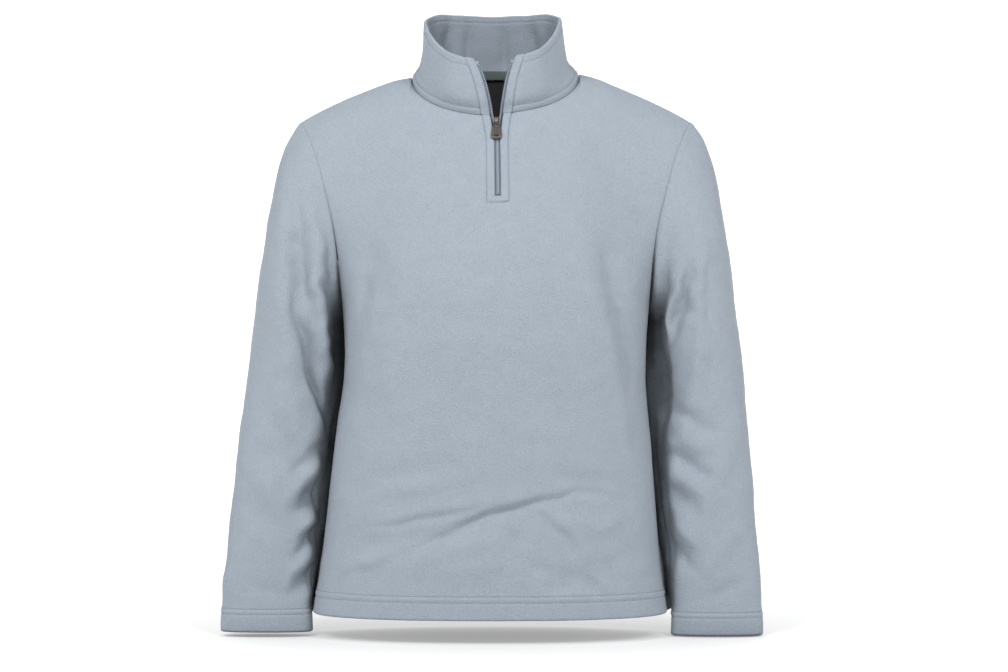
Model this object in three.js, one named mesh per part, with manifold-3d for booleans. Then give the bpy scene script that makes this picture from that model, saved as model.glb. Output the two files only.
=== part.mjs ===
// Fleece pullover with a stand collar and a short front zip, filled out with no wearer in it.
// Millimetres. +Z is up, the front faces -Y and +X is the wearer's left. The origin is the middle
// of the neck base, level with the points where the shoulder seams meet the collar.
import * as THREE from "three";
import Module from "manifold-3d";

// ---------------------------------------------------------------- driving dimensions
const FLEECE = 2.4; // one layer of fleece
const TURN_UP = 4.6; // hem and cuff, where the fleece is folded back and sewn
const COLLAR_WALL = 5; // two layers of fleece
const SEAM = 0.15; // each piece stops this far short of its seam line
const CLEAR = 0.4; // between parts laid over one another

const UNDERARM_Z = -288;
const HEM_Z = -680;
const HEM_TURN = 28; // height of the turned-up hem and cuffs
const CHEST_HALF = 196; // half width at the underarm
const SHOULDER_HALF = 250; // half width at the shoulder tips
const SHOULDER_TIP_Z = -55.5;
const SHOULDER_SEAM_Y = [-3, -1]; // at the neck, at the tip
const NECK_HALF = 107;
const NECK_FRONT = { y: -78, z: -53 };
const NECK_BACK = { y: 45, z: 3 };
const NECK_POINT_Z = 1;
const NECK_TILT = 2; // the neck sits this much higher on the wearer's left than on the right
const NECK_SHARE = 0.52; // the part of a panel's top edge that is neckline
const SQUARENESS = 0.87; // 1 gives plain ellipses round the body, less gives squarer ones

// Body rings below the underarm.
const BODY = [
  // z, half width, depth in front, depth behind
  [-680, 226, 108, 98],
  [-640, 220, 110, 98],
  [-600, 214.5, 112, 98],
  [-562, 211, 114, 99],
  [-524, 207.5, 116, 100],
  [-484, 203.5, 120, 102],
  [-440, 199, 124, 104],
  [-390, 193, 130, 108],
  [-345, 192.5, 136, 113],
  [UNDERARM_Z, CHEST_HALF, 140, 118],
];
// Heights of the rows of the body below the underarm.
const BODY_ROWS = [
  -680, -671, -660, -652, -648, -630, -606, -580, -552, -524, -496, -468, -440, -412, -384,
  -358, -334, -310,
];
// Heights at the centre front of the rows above the underarm; the zip slot ends on SLOT_ROW.
const YOKE_ROWS = [-288, -266, -244, -222, -200, -178, -157.4, -133, -108, -84, -68, -53];
const SLOT_ROW = BODY_ROWS.length + YOKE_ROWS.indexOf(-157.4);

// Armhole seams of the wearer's left side, from the underarm up to the shoulder tip.
const ARMHOLE_FRONT = [
  // x, y, z
  [CHEST_HALF, 0, UNDERARM_Z],
  [196.5, -20, -274],
  [197.5, -38, -252],
  [200, -51, -222],
  [205.5, -57, -187],
  [214.5, -56, -149],
  [225, -48, -111],
  [237.5, -30, -78],
  [SHOULDER_HALF, SHOULDER_SEAM_Y[1], SHOULDER_TIP_Z],
];
const ARMHOLE_BACK = [
  // x, y, z
  [CHEST_HALF, 0, UNDERARM_Z],
  [197.5, 22, -274],
  [201, 42, -246],
  [208, 55, -208],
  [217, 60, -166],
  [228, 55, -124],
  [239.5, 36, -84],
  [SHOULDER_HALF, SHOULDER_SEAM_Y[1], SHOULDER_TIP_Z],
];
const SHOULDER_SEAM = [
  // x, z
  [NECK_HALF, NECK_POINT_Z],
  [130, -4],
  [150, -11],
  [171, -18.6],
  [192, -26.6],
  [220, -39.4],
  [SHOULDER_HALF, SHOULDER_TIP_Z],
];

// Sleeve sections: each is a flat ring through an outer point and an inner point.
const SLEEVE = [
  // outer x, outer z, inner x, inner z, half depth, middle y
  [250, -55.5, 196, -288, 58, 1],
  [265.5, -79, 196.5, -291, 61, 1],
  [275.5, -105, 197, -294, 64, 2],
  [283, -132, 197.3, -297.5, 66.5, 4],
  [289, -165, 197.8, -302, 68.5, 6],
  [295, -200, 198.4, -308, 70, 8],
  [300.5, -238, 199, -317, 70, 10],
  [306, -276, 200, -331, 69, 12],
  [310.5, -315, 201, -350, 67, 14],
  [315.5, -355, 202, -375, 64, 15],
  [320, -395, 203, -405, 60, 15],
  [324.5, -437, 204.5, -440, 55, 13],
  [329, -480, 208.5, -481, 49, 10],
  [333, -523, 214, -523, 44, 6],
  [336.5, -566, 220.5, -566, 38, 3],
  [340, -608, 225.5, -608, 32, 0],
  [343.5, -648, 228.5, -648, 27, -3],
  [345, -679, 230, -679, 23, -4],
  [345.2, -683, 230, -683, 22.5, -4],
  [345.5, -690, 230, -690, 22, -5],
  [346, -702, 229.7, -702, 21, -5],
  [346, -710, 229.3, -710, 20.3, -5],
];
const CUFF_RING = 18; // from this ring down the sleeve is turned up
const CUFF_LIFT = { right: 5.5, left: 1 }; // the cuffs don't hang quite level

// The collar's top edge on the wearer's left, from the zip round to the back.
const COLLAR_RIM = [
  // x, y, z
  [28, -92, 15],
  [43, -92, 17.5],
  [59, -84, 24.5],
  [70, -72, 34],
  [79, -56, 47],
  [85, -37, 60.5],
  [88, -15, 71],
  [83, 12, 78.5],
  [70, 32, 84],
  [40, 44, 84],
  [0, 47, 82.5],
];
// How the collar rises from the neck seam.
const COLLAR_ROWS = [
  // share of its height, share of its way in or out, share of its way aside at the zip
  [0, 0, 0],
  [0.12, 0.2, 0.05],
  [0.24, 0.5, 0.13],
  [0.42, 0.68, 0.26],
  [0.66, 0.84, 0.48],
  [0.88, 0.95, 0.78],
  [1, 1, 1],
];
const ZIP_EDGE_REACH = 45; // how far round the collar the zip edge's own shape carries

// The garment hangs a little to one side: the shift of everything at a height.
const LEAN = [
  // z, x
  [-720, -4.7],
  [-620, -4],
  [-550, -3],
  [-450, -1.5],
  [-350, 0],
  [0, 0],
  [40, -2.5],
  [85, -3.3],
];
const BODY_LEAN = [
  // z, x added for the body alone
  [-680, -2],
  [-440, -1.5],
  [-350, 0],
];

// The zip: its middle line, half the opening between the fleece edges, and how far the coil's
// inner edge stands in from the fleece edge.
const ZIP_LINE = [
  // z, x, half opening, reach
  [-165, 3, 4.05, 3.9],
  [-108, 2.4, 4.05, 3.9],
  [-84, 2, 4.1, 3.95],
  [-76, 1.8, 5.1, 4.95],
  [-70, 1.6, 5.85, 5.6],
  [-62, 1.4, 7.2, 4.9],
  [-57.5, 1.2, 7.9, 4.7],
  [-52, 1, 9.6, 5],
  [30, 0, 28, 5],
];
const NECK_TAPE = { rises: [0.004, 0.12], thick: 1 }; // rises are shares of the collar's height
const COIL = { wide: 2.5, thick: 1.6, top: 0.8 };
const TAPE = { thick: 0.8, under: 8, top: FLEECE + CLEAR };
const TOP_STOP = { wider: 0.5, long: 2.6, thicker: 0.2 }; // beyond the coil's own width and thickness
const BOTTOM_STOP = { wide: 5.6, long: 2.6, thick: 1.7, above: 2 };
const SLIDER = {
  z: -63.7,
  long: 13.5,
  halfTop: 4.25,
  halfFoot: 3.7,
  plate: 1.3,
  faceTop: 0.85,
  backTop: -3.95,
  backPlate: 1.1,
};
// The bridge on the slider's front plate that holds the pull tab: an arch seen from the side.
const BRIDGE = { from: -2.9, to: 4.4, foot: 1.1, top: 3, wall: 0.8, wide: 2.6, sunk: 0.3 };
const PIVOT = { up: -0.6, above: 1.1 }; // the tab's hinge line, on the slider's front plate
// The tab's window, which the bridge passes through, and its slot, both measured from the hinge.
const PULL = {
  thick: 1.2,
  bar: 0.55,
  windowHalf: 2.35,
  windowEnd: 7.3,
  windowCorner: 1.2,
  slotAt: 19,
  slotHalf: 2.7,
  slotEnd: 1,
};
const PULL_SIDE = [
  // distance below the pivot, half width
  [-0.55, 3.1],
  [1, 3.6],
  [5.4, 3.9],
  [7.4, 5.6],
  [9.5, 5.9],
  [13, 6],
  [17, 6.7],
  [20.3, 7.3],
  [22.3, 6.4],
  [23.6, 4.2],
  [24.1, 0],
];

// Large folds, seen square on from the front or the back: a trough (or, with a positive depth,
// a ridge) from one place to another, fading at its ends.
const FOLDS = [
  // piece, face, x0, z0, x1, z1, half width, depth
  ["body", "front", -148, -225, -172, -360, 15, -4.5],
  ["body", "front", -118, -235, -140, -400, 18, 3],
  ["body", "front", 138, -215, 166, -400, 15, -4.5],
  ["body", "front", 108, -230, 132, -400, 18, 3],
  ["body", "front", -165, -590, 70, -548, 13, -2.5],
  ["body", "front", -150, -560, 90, -520, 15, 2],
  ["body", "front", 80, -640, 190, -600, 13, -2.5],
  ["body", "back", -90, -560, 60, -400, 22, -5],
  ["body", "back", 100, -330, 20, -500, 22, 4],
  ["body", "back", -120, -300, -60, -420, 20, 3.5],
  ["sleeve_right", "front", -252, -232, -215, -438, 13, -5],
  ["sleeve_right", "front", -285, -250, -262, -440, 15, 3],
  ["sleeve_right", "front", -262, -460, -215, -560, 12, -4],
  ["sleeve_right", "front", -300, -500, -236, -610, 14, 3],
  ["sleeve_left", "front", 222, -270, 226, -460, 13, -5],
  ["sleeve_left", "front", 262, -330, 238, -470, 14, 3],
  ["sleeve_left", "front", 250, -452, 215, -590, 12, -4],
  ["sleeve_left", "front", 290, -480, 250, -600, 14, 3],
  ["sleeve_right", "back", -300, -400, -235, -470, 14, -5],
  ["sleeve_left", "back", 300, -400, 235, -470, 14, -5],
];

// ---------------------------------------------------------------- small helpers
const V = (x, y, z) => new THREE.Vector3(x, y, z);
const lerp = THREE.MathUtils.lerp;
const clamp = (t) => Math.min(1, Math.max(0, t));
const smooth = (t) => clamp(t) ** 2 * (3 - 2 * clamp(t));
const power = (w, p) => Math.sign(w) * Math.abs(w) ** p;
const range = (n) => [...Array(n).keys()];

/** Smooth reading of a table whose first column rises: returns t -> the other columns. */
function reader(rows) {
  const slope = (i, k) => {
    const a = rows[Math.max(0, i - 1)];
    const b = rows[Math.min(rows.length - 1, i + 1)];
    return (b[k] - a[k]) / (b[0] - a[0]);
  };
  return (t) => {
    const x = Math.min(rows.at(-1)[0], Math.max(rows[0][0], t));
    const i = Math.min(rows.length - 2, Math.max(0, rows.findIndex((r) => r[0] >= x) - 1));
    const [a, b] = [rows[i], rows[i + 1]];
    const h = b[0] - a[0];
    const s = (x - a[0]) / h;
    const column = (k) => hermite(a[k], b[k], slope(i, k) * h, slope(i + 1, k) * h, s);
    return a.slice(1).map((_, n) => column(n + 1));
  };
}

/** A cubic from a to b that leaves a and arrives at b at the given slopes. */
function hermite(a, b, fromA, toB, t) {
  const [t2, t3] = [t * t, t * t * t];
  const ends = (2 * t3 - 3 * t2 + 1) * a + (3 * t2 - 2 * t3) * b;
  return ends + (t3 - 2 * t2 + t) * fromA + (t3 - t2) * toB;
}

/** A smooth line through points, read by share of its length. */
function line(points) {
  const curve = new THREE.CatmullRomCurve3(points.map((p) => V(...p)), false, "centripetal");
  curve.arcLengthDivisions = 400;
  return (t) => curve.getPointAt(clamp(t));
}

const body = reader(BODY);
const shoulderZ = reader(SHOULDER_SEAM);
const lean = reader(LEAN);
const bodyLean = reader(BODY_LEAN);
const zipLine = reader(ZIP_LINE);
const armhole = { front: line(ARMHOLE_FRONT), back: line(ARMHOLE_BACK) };
const rim = line(COLLAR_RIM);

// ---------------------------------------------------------------- the body's surface
const FACE = { front: -1, back: 1 };

/** A place on a body ring. u runs from -1 at the wearer's right side seam to 1 at the left. */
function ringPoint(face, z, u) {
  const [half, front, back] = body(z);
  const angle = (u * Math.PI) / 2;
  const depth = face === "front" ? -front : back;
  return V(half * power(Math.sin(angle), SQUARENESS), depth * power(Math.cos(angle), SQUARENESS), z);
}

/** The top edge of a panel: neckline in the middle, shoulder seam outside it. */
function topPoint(face, u) {
  const side = Math.sign(u) || 1;
  const a = Math.abs(u);
  if (a > NECK_SHARE) {
    const w = (a - NECK_SHARE) / (1 - NECK_SHARE);
    const x = lerp(NECK_HALF, SHOULDER_HALF, w);
    const z = shoulderZ(x)[0] + neckTilt(side * x) * (1 - w) ** 3;
    return V(side * x, lerp(...SHOULDER_SEAM_Y, w), z);
  }
  const turn = (a / NECK_SHARE) * (Math.PI / 2);
  const low = face === "front" ? NECK_FRONT : NECK_BACK;
  const x = side * NECK_HALF * Math.sin(turn);
  return V(
    x,
    lerp(SHOULDER_SEAM_Y[0], low.y, Math.cos(turn)),
    lerp(NECK_POINT_Z, low.z, Math.cos(turn)) + neckTilt(x) * (face === "front" ? 1 : Math.sin(turn)),
  );
}

const neckTilt = (x) => NECK_TILT * Math.tanh(x / 20);

/** The way a panel arrives at its top edge, as an angle back from straight up. */
function topAngle(face, u) {
  const turn = clamp(Math.abs(u) / NECK_SHARE) * (Math.PI / 2);
  const [atShoulder, atCentre] = face === "front" ? [69, 24.5] : [-111, -30];
  return THREE.MathUtils.degToRad(lerp(atShoulder, atCentre, Math.cos(turn)));
}

function yokeBase(face, u, v) {
  const low = ringPoint(face, UNDERARM_Z, u);
  const top = topPoint(face, u);
  const angle = topAngle(face, u);
  const reach = Math.hypot(top.y - low.y, top.z - low.z);
  const fullness = face === "front" ? lerp(1.2, 0.9, clamp(Math.abs(u) / NECK_SHARE)) : 0.9;
  return V(
    lerp(low.x, top.x, 0.45 * v + 0.55 * smooth(v)),
    hermite(low.y, top.y, 0, fullness * reach * Math.sin(angle), v),
    hermite(low.z, top.z, 0.8 * reach, fullness * reach * Math.cos(angle), v),
  );
}

/** The panel above the underarm, whose outer edges are the armholes. v is 0 to 1 upwards. */
function yokePoint(face, u, v) {
  const p = yokeBase(face, u, v);
  const side = Math.sign(u) || 1;
  const pull = clamp((Math.abs(u) - 0.55) / 0.45) ** 2;
  if (pull > 0) {
    const edge = armhole[face](v);
    edge.x *= side;
    p.addScaledVector(edge.sub(yokeBase(face, side, v)), pull);
  }
  return p;
}

/** The share of the yoke at which its centre front is at height z. */
function yokeShare(z) {
  let [low, high] = [0, 1];
  for (let i = 0; i < 40; i++) {
    const mid = (low + high) / 2;
    if (yokeBase("front", 0, mid).z < z) low = mid;
    else high = mid;
  }
  return (low + high) / 2;
}
const YOKE = YOKE_ROWS.map((z, i) => (i === 0 ? 0 : i === YOKE_ROWS.length - 1 ? 1 : yokeShare(z)));

// ---------------------------------------------------------------- nets of points
const SHOULDER_COLUMNS = 5;
const FRONT_NECK_COLUMNS = 6;
const BACK_NECK_COLUMNS = 4;
const SLOT_U = 0.02; // the columns that edge the zip slot

const shoulderUs = range(SHOULDER_COLUMNS).map((i) => lerp(1, NECK_SHARE, i / SHOULDER_COLUMNS));
const frontHalf = [
  ...shoulderUs,
  ...range(FRONT_NECK_COLUMNS + 1).map((i) => lerp(NECK_SHARE, SLOT_U, i / FRONT_NECK_COLUMNS)),
];
const backHalf = [
  ...shoulderUs,
  ...range(BACK_NECK_COLUMNS).map((i) => lerp(NECK_SHARE, 0, i / BACK_NECK_COLUMNS)),
];
const FRONT_US = [...frontHalf.map((u) => -u), ...[...frontHalf].reverse()];
const BACK_US = [...backHalf.map((u) => -u), 0, ...[...backHalf].reverse()];
const SLOT_COLUMN = frontHalf.length - 1; // the slot lies between this column and the next

/** How far out a place is moved by the folds of its piece. */
function foldDepth(piece, face, p, facing) {
  let total = 0;
  for (const [name, side, x0, z0, x1, z1, wide, depth] of FOLDS) {
    if (name !== piece || side !== face) continue;
    const [dx, dz] = [x1 - x0, z1 - z0];
    const long = Math.hypot(dx, dz);
    const along = ((p.x - x0) * dx + (p.z - z0) * dz) / (long * long);
    const off = ((p.x - x0) * dz - (p.z - z0) * dx) / long;
    const ends = smooth(along / 0.3 + 0.5) * smooth((1 - along) / 0.3 + 0.5);
    total += depth * ends * Math.exp(-((off / wide) ** 2));
  }
  return total * smooth(facing * 1.6);
}

/** Rows of points of a body panel, from the hem up, and across from u = -1 to 1. */
function bodyNet(face) {
  const us = face === "front" ? FRONT_US : BACK_US;
  const rows = [
    ...BODY_ROWS.map((z) => us.map((u) => ringPoint(face, z, u))),
    ...YOKE.map((v) => us.map((u) => yokePoint(face, u, v))),
  ];
  rows.forEach((row, r) =>
    row.forEach((p, c) => {
      const u = us[c];
      const v = r < BODY_ROWS.length ? 0 : YOKE[r - BODY_ROWS.length];
      const seamFade = smooth((1 - Math.abs(u)) / 0.16) * smooth((1 - v) / 0.2);
      const facing = Math.cos((u * Math.PI) / 2) * seamFade;
      const depth = foldDepth("body", face, p, facing);
      p.y += FACE[face] * depth * Math.cos((u * Math.PI) / 2);
      p.x += depth * Math.sin((u * Math.PI) / 2);
    }),
  );
  if (face === "front") {
    for (const row of rows) {
      row.forEach((p, c) => {
        const [x, half] = zipLine(p.z);
        if (c === SLOT_COLUMN) p.x = x - half;
        else if (c === SLOT_COLUMN + 1) p.x = x + half;
        else p.x += x * smooth(1 - Math.abs(us[c]) / 0.4);
      });
    }
  }
  for (const row of rows) for (const p of row) p.x += lean(p.z)[0] + bodyLean(p.z)[0];
  return rows;
}

/** Rings of a sleeve from the armhole down; each starts at the top and runs round by the front. */
function sleeveNet(side, front, back) {
  const edge = (net, r) => (side < 0 ? net[r][0] : net[r].at(-1));
  const first = BODY_ROWS.length;
  const last = first + YOKE.length - 1;
  // The points of the armhole seam, each with its turn round the sleeve.
  const loop = [];
  for (let r = last; r > first; r--) loop.push([edge(front, r), (1 - YOKE[r - first]) * Math.PI]);
  for (let r = first; r < last; r++) loop.push([edge(back, r), (1 + YOKE[r - first]) * Math.PI]);
  const piece = side < 0 ? "sleeve_right" : "sleeve_left";
  const ring = (k) => {
    const [ox, oz, ix, iz, deep, midY] = SLEEVE[k];
    const out = V(ox - ix, 0, oz - iz).multiplyScalar(0.5);
    const middle = V((ox + ix) / 2, midY, (oz + iz) / 2);
    return loop.map(([, turn]) => {
      const p = middle.clone().addScaledVector(out, power(Math.cos(turn), SQUARENESS));
      p.y -= deep * power(Math.sin(turn), SQUARENESS);
      p.x *= side;
      return p;
    });
  };
  const shift = ring(0).map((p, j) => loop[j][0].clone().sub(p));
  return SLEEVE.map((_, k) => {
    const hold = 1 - smooth(k / 5);
    const lift = CUFF_LIFT[side < 0 ? "right" : "left"] * smooth((k - 8) / (SLEEVE.length - 9));
    return ring(k).map((p, j) => {
      if (k === 0) return loop[j][0].clone();
      p.z += lift;
      p.addScaledVector(shift[j], hold);
      const facing = Math.sin(loop[j][1]);
      const face = facing > 0 ? "front" : "back";
      const depth = foldDepth(piece, face, p, Math.abs(facing)) * smooth((k - 2) / 3);
      p.y += FACE[face] * depth * Math.abs(facing);
      p.x += side * depth * Math.cos(loop[j][1]) * 0.5;
      p.x += lean(p.z)[0];
      return p;
    });
  });
}

/** Rows of the collar from the neck seam up, running from the zip on the wearer's right, round
 * the back, to the zip on the left. */
function collarNet(front, back) {
  const neckPoint = SHOULDER_COLUMNS;
  const [f, b] = [front.at(-1), back.at(-1)];
  const base = [
    ...f.slice(neckPoint, SLOT_COLUMN + 1).reverse(),
    ...b.slice(neckPoint + 1, b.length - neckPoint - 1),
    ...f.slice(SLOT_COLUMN + 1, f.length - neckPoint).reverse(),
  ];
  const lengths = [0];
  base.slice(1).forEach((p, i) => lengths.push(lengths[i] + p.distanceTo(base[i])));
  const long = lengths.at(-1);
  const tops = base.map((_, i) => {
    const share = lengths[i] / long;
    const p = rim(1 - Math.abs(1 - 2 * share));
    if (share < 0.5) p.x *= -1;
    p.z += neckTilt(p.x) * clamp((40 - p.y) / 60);
    p.x += lean(p.z)[0];
    return p;
  });
  const toZip = lengths.map((l) => smooth(1 - Math.min(l, long - l) / ZIP_EDGE_REACH));
  return COLLAR_ROWS.map(([up, across, aside]) =>
    base.map((p, i) => {
      const t = tops[i];
      const x = lerp(p.x, t.x, lerp(across, aside, toZip[i]));
      return V(x, lerp(p.y, t.y, across), lerp(p.z, t.z, up));
    }),
  );
}

// ---------------------------------------------------------------- walls
const key = (p) => [p.x, p.y, p.z].map((w) => Math.round(w * 1000)).join();

/** Cells of a net, as [row, column, next column]. */
function cells(net, { wrap = false, keep = () => true } = {}) {
  const across = net[0].length - (wrap ? 0 : 1);
  return range(net.length - 1).flatMap((r) =>
    range(across)
      .filter((c) => keep(r, c))
      .map((c) => [r, c, (c + 1) % net[0].length]),
  );
}

/** Outward unit normals of nets sewn edge to edge: shared points get one normal. */
function normalsOf(sheets) {
  const sums = new Map();
  for (const { net, outward, ...grid } of sheets) {
    for (const [r, c, d] of cells(net, grid)) {
      const corners = [net[r][c], net[r][d], net[r + 1][d], net[r + 1][c]];
      const n = corners[2].clone().sub(corners[0]).cross(corners[3].clone().sub(corners[1]));
      n.multiplyScalar(outward);
      for (const p of corners) sums.set(key(p), (sums.get(key(p)) ?? V(0, 0, 0)).add(n));
    }
  }
  return (p) => sums.get(key(p)).clone().normalize();
}

/** A closed wall between a net and the same net moved by its inward vectors. */
function wall(net, inward, grid = {}) {
  const width = net[0].length;
  const count = net.length * width;
  const position = new Float32Array(count * 6);
  const inwards = inward.flat();
  net.flat().forEach((p, i) => {
    p.toArray(position, i * 3);
    p.clone().add(inwards[i]).toArray(position, (count + i) * 3);
  });
  const index = [];
  const edges = new Map();
  const quad = (a, b, c, d) => index.push(a, b, c, a, c, d);
  const turned = (a, b, c, d) => index.push(a, c, b, a, d, c);
  for (const [r, c, d] of cells(net, grid)) {
    const corners = [r * width + c, r * width + d, (r + 1) * width + d, (r + 1) * width + c];
    quad(...corners);
    turned(...corners.map((i) => i + count));
    corners.forEach((a, i) => {
      const b = corners[(i + 1) % 4];
      if (!edges.delete(`${b},${a}`)) edges.set(`${a},${b}`, [a, b]);
    });
  }
  for (const [a, b] of edges.values()) quad(b, a, a + count, b + count);
  return closed(position, index);
}

/** A geometry of the used points, facing out. */
function closed(position, index) {
  const g = new THREE.BufferGeometry();
  g.setAttribute("position", new THREE.BufferAttribute(position, 3));
  const [a, b, c] = [V(), V(), V()];
  let volume = 0;
  for (let i = 0; i < index.length; i += 3) {
    [a, b, c].forEach((p, k) => p.fromArray(position, index[i + k] * 3));
    volume += a.dot(b.cross(c));
  }
  g.setIndex(volume < 0 ? [...index].reverse() : index);
  const flat = g.toNonIndexed();
  flat.computeVertexNormals();
  return flat;
}

/** Moves the named edges of a net back from their seam lines. */
function trimmed(net, { rows = [], columns = [] }, amount = SEAM) {
  const out = net.map((row) => row.map((p) => p.clone()));
  const last = net.length - 1;
  const end = net[0].length - 1;
  const step = (p, q) => q.clone().sub(p).setLength(amount);
  for (const edge of rows) {
    const [r, q] = edge === "first" ? [0, 1] : [last, last - 1];
    net[r].forEach((p, c) => out[r][c].add(step(p, net[q][c])));
  }
  for (const edge of columns) {
    const [c, q] = edge === "first" ? [0, 1] : [end, end - 1];
    net.forEach((row, r) => out[r][c].add(step(row[c], row[q])));
  }
  return out;
}

// ---------------------------------------------------------------- the cloth pieces
const frontNet = bodyNet("front");
const backNet = bodyNet("back");
const sleeveNets = {
  right: sleeveNet(-1, frontNet, backNet),
  left: sleeveNet(1, frontNet, backNet),
};
const collar = collarNet(frontNet, backNet);
const slotOpen = (r, c) => !(c === SLOT_COLUMN && r >= SLOT_ROW);

const bodyNormal = normalsOf([
  { net: frontNet, outward: 1, keep: slotOpen },
  { net: backNet, outward: -1 },
]);
const sleeveNormal = {
  right: normalsOf([{ net: sleeveNets.right, outward: -1, wrap: true }]),
  left: normalsOf([{ net: sleeveNets.left, outward: 1, wrap: true }]),
};
const collarNormal = normalsOf([{ net: collar, outward: -1 }]);

/** Where two pieces meet over a ridge their ends share one plane; in a valley each keeps its own. */
function sharedPlane(own, other, onward) {
  const ridge = smooth((-own.dot(onward) - 0.02) / 0.2);
  const shared = own.clone().add(other).normalize();
  return own.clone().lerp(shared, ridge).normalize();
}

/** A direction made long enough to keep a piece's thickness at a slanted end. */
const mitred = (n, own) => n.clone().multiplyScalar(1 / Math.max(0.5, n.dot(own)));

const armholeMeets = new Map();
for (const side of ["right", "left"]) {
  const [first, second] = sleeveNets[side];
  first.forEach((p, j) => {
    const own = bodyNormal(p);
    const other = sleeveNormal[side](p);
    const shared = sharedPlane(own, other, second[j].clone().sub(p).normalize());
    const ridge = shared.dot(own) < 0.9999;
    armholeMeets.set(key(p), {
      body: mitred(shared, own),
      sleeve: ridge ? mitred(shared, other) : other,
    });
  });
}

const turnUp = (z) => (z < HEM_Z + HEM_TURN + 0.5 ? TURN_UP : FLEECE);
const inwardOf = (net, way, thick) =>
  net.map((row, r) => row.map((p) => way(p, r).clone().multiplyScalar(-thick(p, r))));

function bodyPanel(net, grid) {
  const way = (p) => armholeMeets.get(key(p))?.body ?? bodyNormal(p);
  const inward = inwardOf(net, way, (p) => turnUp(p.z));
  return wall(trimmed(net, { rows: ["last"], columns: ["first", "last"] }), inward, grid);
}

function sleevePiece(side) {
  const net = sleeveNets[side];
  const way = (p, r) => (r === 0 ? armholeMeets.get(key(p)).sleeve : sleeveNormal[side](p));
  const inward = inwardOf(net, way, (p, r) => (r >= CUFF_RING ? TURN_UP : FLEECE));
  return wall(trimmed(net, { rows: ["first"] }), inward, { wrap: true });
}

const collarInward = inwardOf(collar, collarNormal, (p, r) =>
  r === collar.length - 1 ? COLLAR_WALL - 2 : COLLAR_WALL,
);
function collarPiece() {
  const net = trimmed(collar, { rows: ["first"] });
  // The top edge is rounded over: its outer corner is drawn in.
  net.at(-1).forEach((p, c) => p.addScaledVector(collarInward.at(-1)[c], 0.33));
  return wall(net, collarInward);
}

/** The tape over the neck seam, from one shoulder seam round the back to the other. */
function neckTape() {
  const first = FRONT_NECK_COLUMNS;
  const width = collar[0].length - 2 * FRONT_NECK_COLUMNS;
  const places = NECK_TAPE.rises.map((up) => range(width).map((i) => onCollar(up, first + i)));
  const each = (way) => places.map((row) => row.map(way));
  return wall(
    each(({ p, inward }) => p.clone().addScaledVector(inward, COLLAR_WALL + CLEAR)),
    each(({ inward }) => inward.clone().multiplyScalar(NECK_TAPE.thick)),
  );
}

// ---------------------------------------------------------------- the zip
/** A place between the rows of a net, with its inward unit vector. */
function between(net, way, r, c) {
  const r0 = Math.min(net.length - 2, Math.floor(r));
  const [a, b] = [net[r0][c], net[r0 + 1][c]];
  return {
    p: a.clone().lerp(b, r - r0),
    inward: way(a).clone().lerp(way(b), r - r0).normalize().negate(),
  };
}

/** A place on the collar at a share of its height. */
function onCollar(up, c) {
  const r = Math.max(0, COLLAR_ROWS.findIndex(([u]) => u >= up) - 1);
  const [low, high] = [COLLAR_ROWS[r][0], COLLAR_ROWS[r + 1][0]];
  return between(collar, collarNormal, r + (up - low) / (high - low), c);
}

const PANEL_STATIONS = [-0.3, 0, 1, 2, 3, 3.5, 4, 4.4, 4.75]; // rows above the foot of the slot
const COLLAR_STATIONS = [0.02, 0.12, 0.24, 0.33, 0.42, 0.54, 0.66, 0.77, 0.88, 0.95];

/** Stations up one side of the zip: fleece edge, way to the other side, way in, hidden edge. */
function zipSide(side) {
  const column = side < 0 ? SLOT_COLUMN : SLOT_COLUMN + 1;
  const across = V(-side, 0, 0);
  const panel = PANEL_STATIONS.map((s) => {
    const { p, inward } = between(frontNet, bodyNormal, SLOT_ROW + s, column);
    const next = between(frontNet, bodyNormal, SLOT_ROW + s, column + side);
    const share = TAPE.under / p.distanceTo(next.p);
    return {
      p,
      inward,
      across,
      reach: zipLine(p.z)[2],
      start: 0,
      under: p.clone().lerp(next.p, share),
      underIn: inward.clone().lerp(next.inward, share).normalize(),
    };
  });
  const end = side < 0 ? 0 : collar[0].length - 1;
  const rest = COLLAR_STATIONS.map((up) => {
    const { p, inward } = onCollar(up, end);
    const away = p.clone().sub(onCollar(up, end - side).p).normalize();
    return { p, inward, across: away, reach: zipLine(p.z)[2], start: 0.5, under: null };
  });
  return [...panel, ...rest];
}

const zip = { right: zipSide(-1), left: zipSide(1) };

/** A strip along the zip between two distances in from the fleece edge. */
function zipStrip(stations, from, to, depth, thick) {
  const place = (s, d) => s.p.clone().addScaledVector(s.across, d).addScaledVector(s.inward, depth);
  return {
    net: stations.map((s) => [place(s, from(s)), place(s, to(s))]),
    inward: stations.map((s) => [0, 1].map(() => s.inward.clone().multiplyScalar(thick))),
  };
}

function zipTape(side) {
  const stations = zip[side];
  const shown = zipStrip(stations, (s) => s.start, (s) => s.reach, TAPE.top, TAPE.thick);
  const hidden = (s) => s.under.clone().addScaledVector(s.underIn, TAPE.top);
  const net = stations.map((s, r) => [s.under ? hidden(s) : shown.net[r][0].clone(), ...shown.net[r]]);
  const inward = stations.map((s, r) => [
    (s.underIn ?? s.inward).clone().multiplyScalar(TAPE.thick),
    ...shown.inward[r],
  ]);
  const covered = PANEL_STATIONS.length - 1;
  return wall(net, inward, { keep: (r, c) => c > 0 || r < covered });
}

function zipCoil(side) {
  const stations = zip[side].slice(1, -1);
  const foot = stations[0];
  foot.p = foot.p.clone().lerp(stations[1].p, 0.17); // leaves room for the bottom stop
  const { net, inward } = zipStrip(
    stations,
    (s) => s.reach - COIL.wide,
    (s) => s.reach,
    COIL.top,
    COIL.thick,
  );
  return wall(net, inward);
}

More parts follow.
